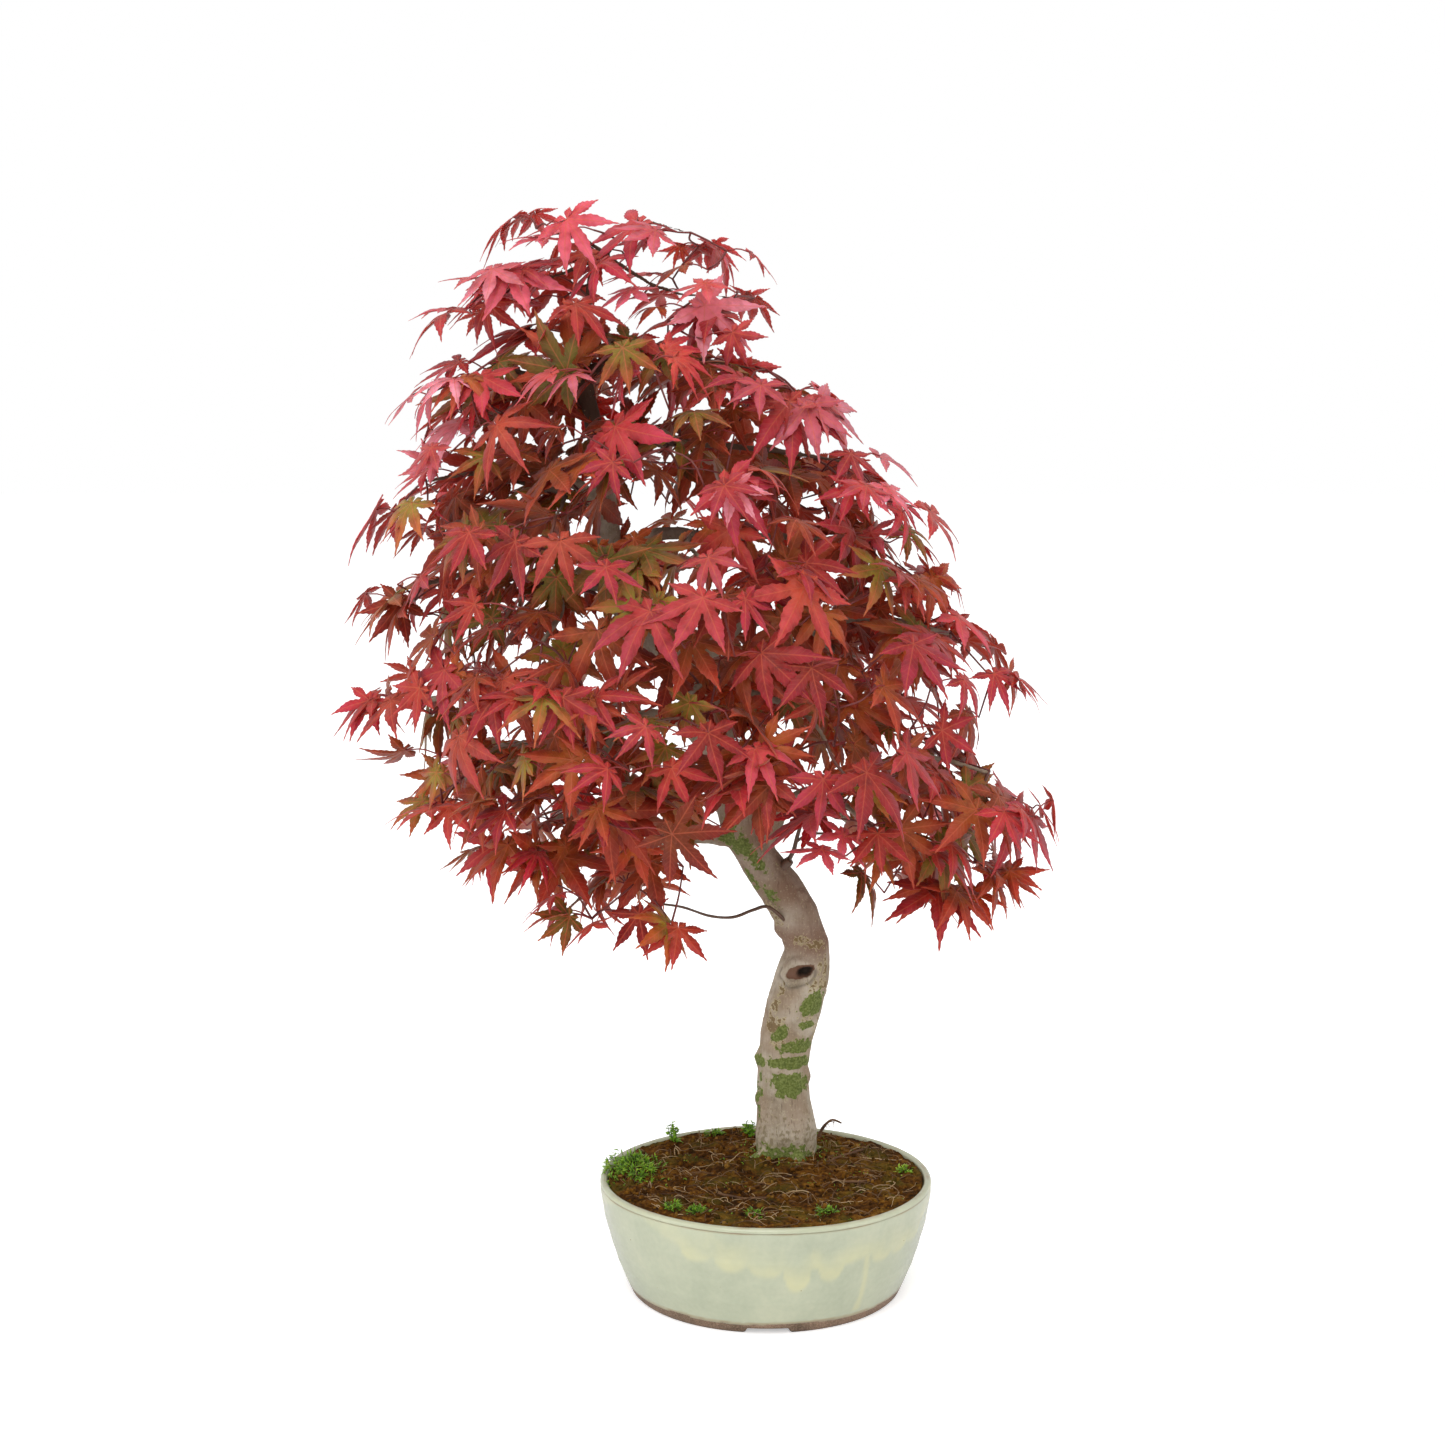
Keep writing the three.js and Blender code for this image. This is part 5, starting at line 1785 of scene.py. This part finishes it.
    def _crowding_all(self, blade: Blade) -> float:
        """How much a blade would lie in any other one."""
        others = np.array([other.middle for other in self.blades])
        gap = np.linalg.norm(others - blade.middle, axis=1)
        return float(np.clip(1 - gap / self.open_gap, 0, None).sum())


# ------------------------------------------------------------------ moss, weeds and debris


@dataclass
class Greenery:
    """Moss and small weeds on the soil: many little blades, and stems with small pointed leaves."""

    soil: Soil
    seed: int = 23
    density: float = 0.85
    large_area: float = 600.0
    lip_leaves: int = 190
    specks: int = 330
    trunk_foot: tuple[float, float] = (14.0, 45.0)

    def build(self) -> None:
        """Make the clump, the tufts and the two weeds."""
        self.rng = np.random.default_rng(self.seed)
        material = GreenGrowth().build()
        for name in sorted(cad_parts):
            if name.startswith("moss_"):
                finish_piece(self._moss(name), material, [name])
            elif name.startswith("weed_"):
                finish_piece(self._weed(name), material, [name])
        finish_piece(self._scattered(), material)
        LOG.info("moss and weeds")

    def _blade(
        self, shape: Shape, foot: Array, heading: Array, length: float, width: float, tone: float
    ) -> None:
        """Add one small pointed leaf, thin but closed."""
        side = unit(np.cross(heading, UP) + self.rng.normal(0, 0.3, 3))
        thick = np.cross(side, heading) * 0.12
        middle = foot + heading * length * 0.45 + thick
        tip = foot + heading * length - UP * length * 0.18
        points = np.array([foot, middle - side * width, middle + thick, middle + side * width,
                           middle - thick * 2, tip])
        faces = np.array([[0, 1, 2], [0, 2, 3], [0, 3, 4], [0, 4, 1],
                          [5, 2, 1], [5, 3, 2], [5, 4, 3], [5, 1, 4]])
        shape.add(points, [faces], tone=tone + np.array([-0.2, 0, 0, 0, -0.1, 0.15]))

    def _moss(self, name: str) -> Object:
        """A cushion of little grassy leaves over the frame's cushion."""
        low, high = node_box(name)
        _, cushion = node_surface(name)
        area = (high[0] - low[0]) * (high[1] - low[1])
        large = area > self.large_area
        shape = Shape()
        middle = (low + high) / 2
        made = 0
        while made < area * self.density * (0.75 if large else 1.6):
            spill = 4 if large else 1
            x, y = self.rng.uniform(low[:2] - spill, high[:2] + spill)
            height = height_on(cushion, x, y)
            if height is None:
                if self.rng.random() < (0.55 if large else 0.9):
                    continue
                height = self.soil.smooth_top(x, y)
            made += 1
            lumps = 2.5 * noise(np.array([[x, y, 0.0]]), 7.0, 53)[0] if large else self.soil.heaped(x, y)
            foot = np.array([x, y, height + lumps - self.rng.uniform(0.5, 4.0)])
            lean = unit(np.array([x, y, 0.0]) - [middle[0], middle[1], 0])
            heading = unit(UP * self.rng.uniform(0.1, 1.2) + lean * 0.6 + self.rng.normal(0, 0.6, 3))
            length = self.rng.uniform(2.4, 8.0) * (1.0 if large else 0.65)
            tone = np.clip(0.5 + 0.3 * noise(foot[None], 9.0, 51)[0] + self.rng.normal(0, 0.14), 0, 1)
            self._blade(shape, foot, heading, length, self.rng.uniform(0.45, 0.95), float(tone))
        if large:
            self._over_lip(shape, float(bearing_of(middle[None])[0]))
        return shape.build(name.replace("moss_", "moss_leaves_"))

    def _over_lip(self, shape: Shape, bearing: float) -> None:
        """Leaves of the clump that lean over the pot's lip."""
        for _ in range(self.lip_leaves):
            turn = math.radians(bearing + self.rng.normal(-1, 7))
            outward = np.array([math.cos(turn), math.sin(turn), 0.0])
            reach = self.soil.radius * self.rng.uniform(0.9, 1.035)
            over = smooth_step(0.97, 1.0, reach / self.soil.radius)
            foot = outward * reach + UP * (self.soil.top_edge + 2 + 4.5 * over + self.rng.uniform(-1, 2))
            heading = outward * self.rng.uniform(0, 0.9) + UP * self.rng.uniform(0, 0.7)
            heading = unit(heading + self.rng.normal(0, 0.5, 3))
            tone = float(self.rng.uniform(0.35, 0.95))
            self._blade(shape, foot, heading, self.rng.uniform(2.5, 6.5), self.rng.uniform(0.45, 0.95), tone)

    def _weed(self, name: str) -> Object:
        """A seedling: a few thin stems with small pointed leaves."""
        low, high = node_box(name)
        middle = (low + high) / 2
        ground = self.soil.smooth_top(middle[0], middle[1])
        shape = Shape()
        for _ in range(5):
            lean = self.rng.normal(0, 0.35, 2)
            tall = (high[2] - ground) * self.rng.uniform(0.6, 1.0)
            top = np.array([*(middle[:2] + lean * tall * 0.5), ground + tall])
            foot = np.array([*(middle[:2] + self.rng.normal(0, 1.5, 2)), ground - 1])
            stem = curve_through([foot, (foot + top) / 2 + [*lean * 1.5, 0], top], 8)
            shape.add_tube(stem, np.linspace(0.4, 0.25, 8), 5, tone=0.35)
            for place in stem[2:]:
                for _ in range(3):
                    turn = self.rng.random() * 2 * math.pi
                    heading = unit(np.array([math.cos(turn), math.sin(turn), self.rng.uniform(-0.1, 0.7)]))
                    tone = float(self.rng.uniform(0.3, 0.7))
                    length, width = self.rng.uniform(2.2, 4.6), self.rng.uniform(0.9, 1.6)
                    self._blade(shape, place, heading, length, width, tone)
        return shape.build(f"{name}_leaves")

    def _scattered(self) -> Object:
        """Single bits of moss over the soil and round the foot of the trunk."""
        shape = Shape()
        for _ in range(self.specks):
            if self.rng.random() < 0.25:
                turn, reach = self.rng.uniform(2.6, 6.6), 20 + abs(self.rng.normal(0, 7))
                x, y = np.array(self.trunk_foot) + polar(reach, turn)
            else:
                turn, reach = self.rng.random() * 2 * math.pi, 90 * math.sqrt(self.rng.random())
                x, y = polar(reach, turn)
                if noise(np.array([[x, y, 0.0]]), 16.0, 52)[0] < 0.15:
                    continue
            if math.hypot(x, y) > 91:
                continue
            ground = self.soil.top(x, y)
            for _ in range(self.rng.integers(1, 5)):
                foot = np.array([x + self.rng.normal(0, 0.9), y + self.rng.normal(0, 0.9), ground - 0.4])
                heading = unit(UP * self.rng.uniform(0.2, 0.9) + self.rng.normal(0, 0.6, 3))
                tone = float(self.rng.uniform(0.2, 0.75))
                length, width = self.rng.uniform(1.0, 3.0), self.rng.uniform(0.3, 0.6)
                self._blade(shape, foot, heading, length, width, tone)
        return shape.build("moss_specks")


@dataclass
class Debris:
    """Loose dead roots, a dead twig and a stub that lie on or stand out of the soil."""

    soil: Soil
    seed: int = 31
    steps: int = 40
    # Each piece's name, then bearing, share of the way to the wall and height over the soil along it,
    # then its radius.
    roots: tuple[tuple[str, Places, float], ...] = (
        ("loose_root_1", ((36, 0.8, 0), (34, 0.66, 0.4), (30, 0.5, 0), (22, 0.34, 0)), 0.75),
        ("loose_root_2", ((350, 0.42, 0), (346, 0.56, 0.6), (352, 0.7, 0), (358, 0.76, 0)), 0.7),
        ("loose_root_3", ((226, 0.44, 0), (250, 0.44, 0.4), (276, 0.4, 0), (292, 0.5, 0)), 0.65),
        ("dead_twig", ((64, 0.84, -2), (62, 0.86, 6), (60, 0.92, 10), (57, 0.95, 8)), 1.1),
        ("twig_stub", ((74, 0.84, -2), (73, 0.85, 4), (72, 0.84, 9)), 1.0),
    )

    def build(self) -> None:
        """Make each piece along the frame's own course."""
        rng = np.random.default_rng(self.seed)
        material = DryFibre("dead_wood", dark="#3a2417", mid="#6d4c30", light="#a98a60").build()
        for name, course, thickness in self.roots:
            path = []
            for bearing, share, rise in course:
                x, y = polar(share * self.soil.radius, math.radians(bearing))
                path.append([x, y, self.soil.smooth_top(x, y) + 0.9 + rise])
            path = curve_through(path, self.steps)
            path += np.column_stack([noise(path, 7.0, 61 + i) for i in range(3)]) * [0.9, 0.9, 0.35]
            radii = thickness * (1.1 - 0.65 * np.linspace(0, 1, self.steps))
            radii = radii * (1 + 0.18 * noise(path, 2.2, 64))
            shape = Shape()
            points, faces = tube(path, radii, 9)
            shape.add(points, faces, tone=0.45 + 0.3 * noise(points, 4.0, 65))
            for _ in range(5):
                start = path[rng.integers(6, 34)]
                heading = unit(rng.normal(0, 1, 3) * [1, 1, 0.35])
                side = curve_through([start, start + heading * 3, start + heading * 6 - UP * 1.2], 8)
                shape.add_tube(side, np.linspace(0.32, 0.14, 8), 5, tone=0.5)
            finish_piece(shape.build(f"{name}_dry"), material, [name])
        LOG.info("loose roots and twigs")


@dataclass
class DrainTrim:
    """The nets over the drain holes and the wires that hold them, which keep the frame's shape."""

    finishes: tuple[tuple[str, str, PlainFinish], ...] = (
        ("drain_screen", "screen_plastic", SCREEN_PLASTIC),
        ("screen_clip", "clip_wire", CLIP_WIRE),
    )

    def build(self) -> None:
        """Give the frame's own nodes their finish."""
        for start, slot, finish in self.finishes:
            material = finish.build()
            for side in ("left", "right"):
                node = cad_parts[f"{start}_{side}"]
                node.data.materials.clear()
                node.data.materials.append(material)
        LOG.info("drain screens and clips")


def main() -> None:
    """Build the studio and every part of the tree."""
    logging.basicConfig(level=logging.INFO, format="%(message)s")
    Studio().build()
    Pot().build()
    soil = Soil()
    soil.build()
    Wood().build()
    Foliage().build()
    Greenery(soil).build()
    Debris(soil).build()
    DrainTrim().build()


if __name__ == "__main__":
    main()
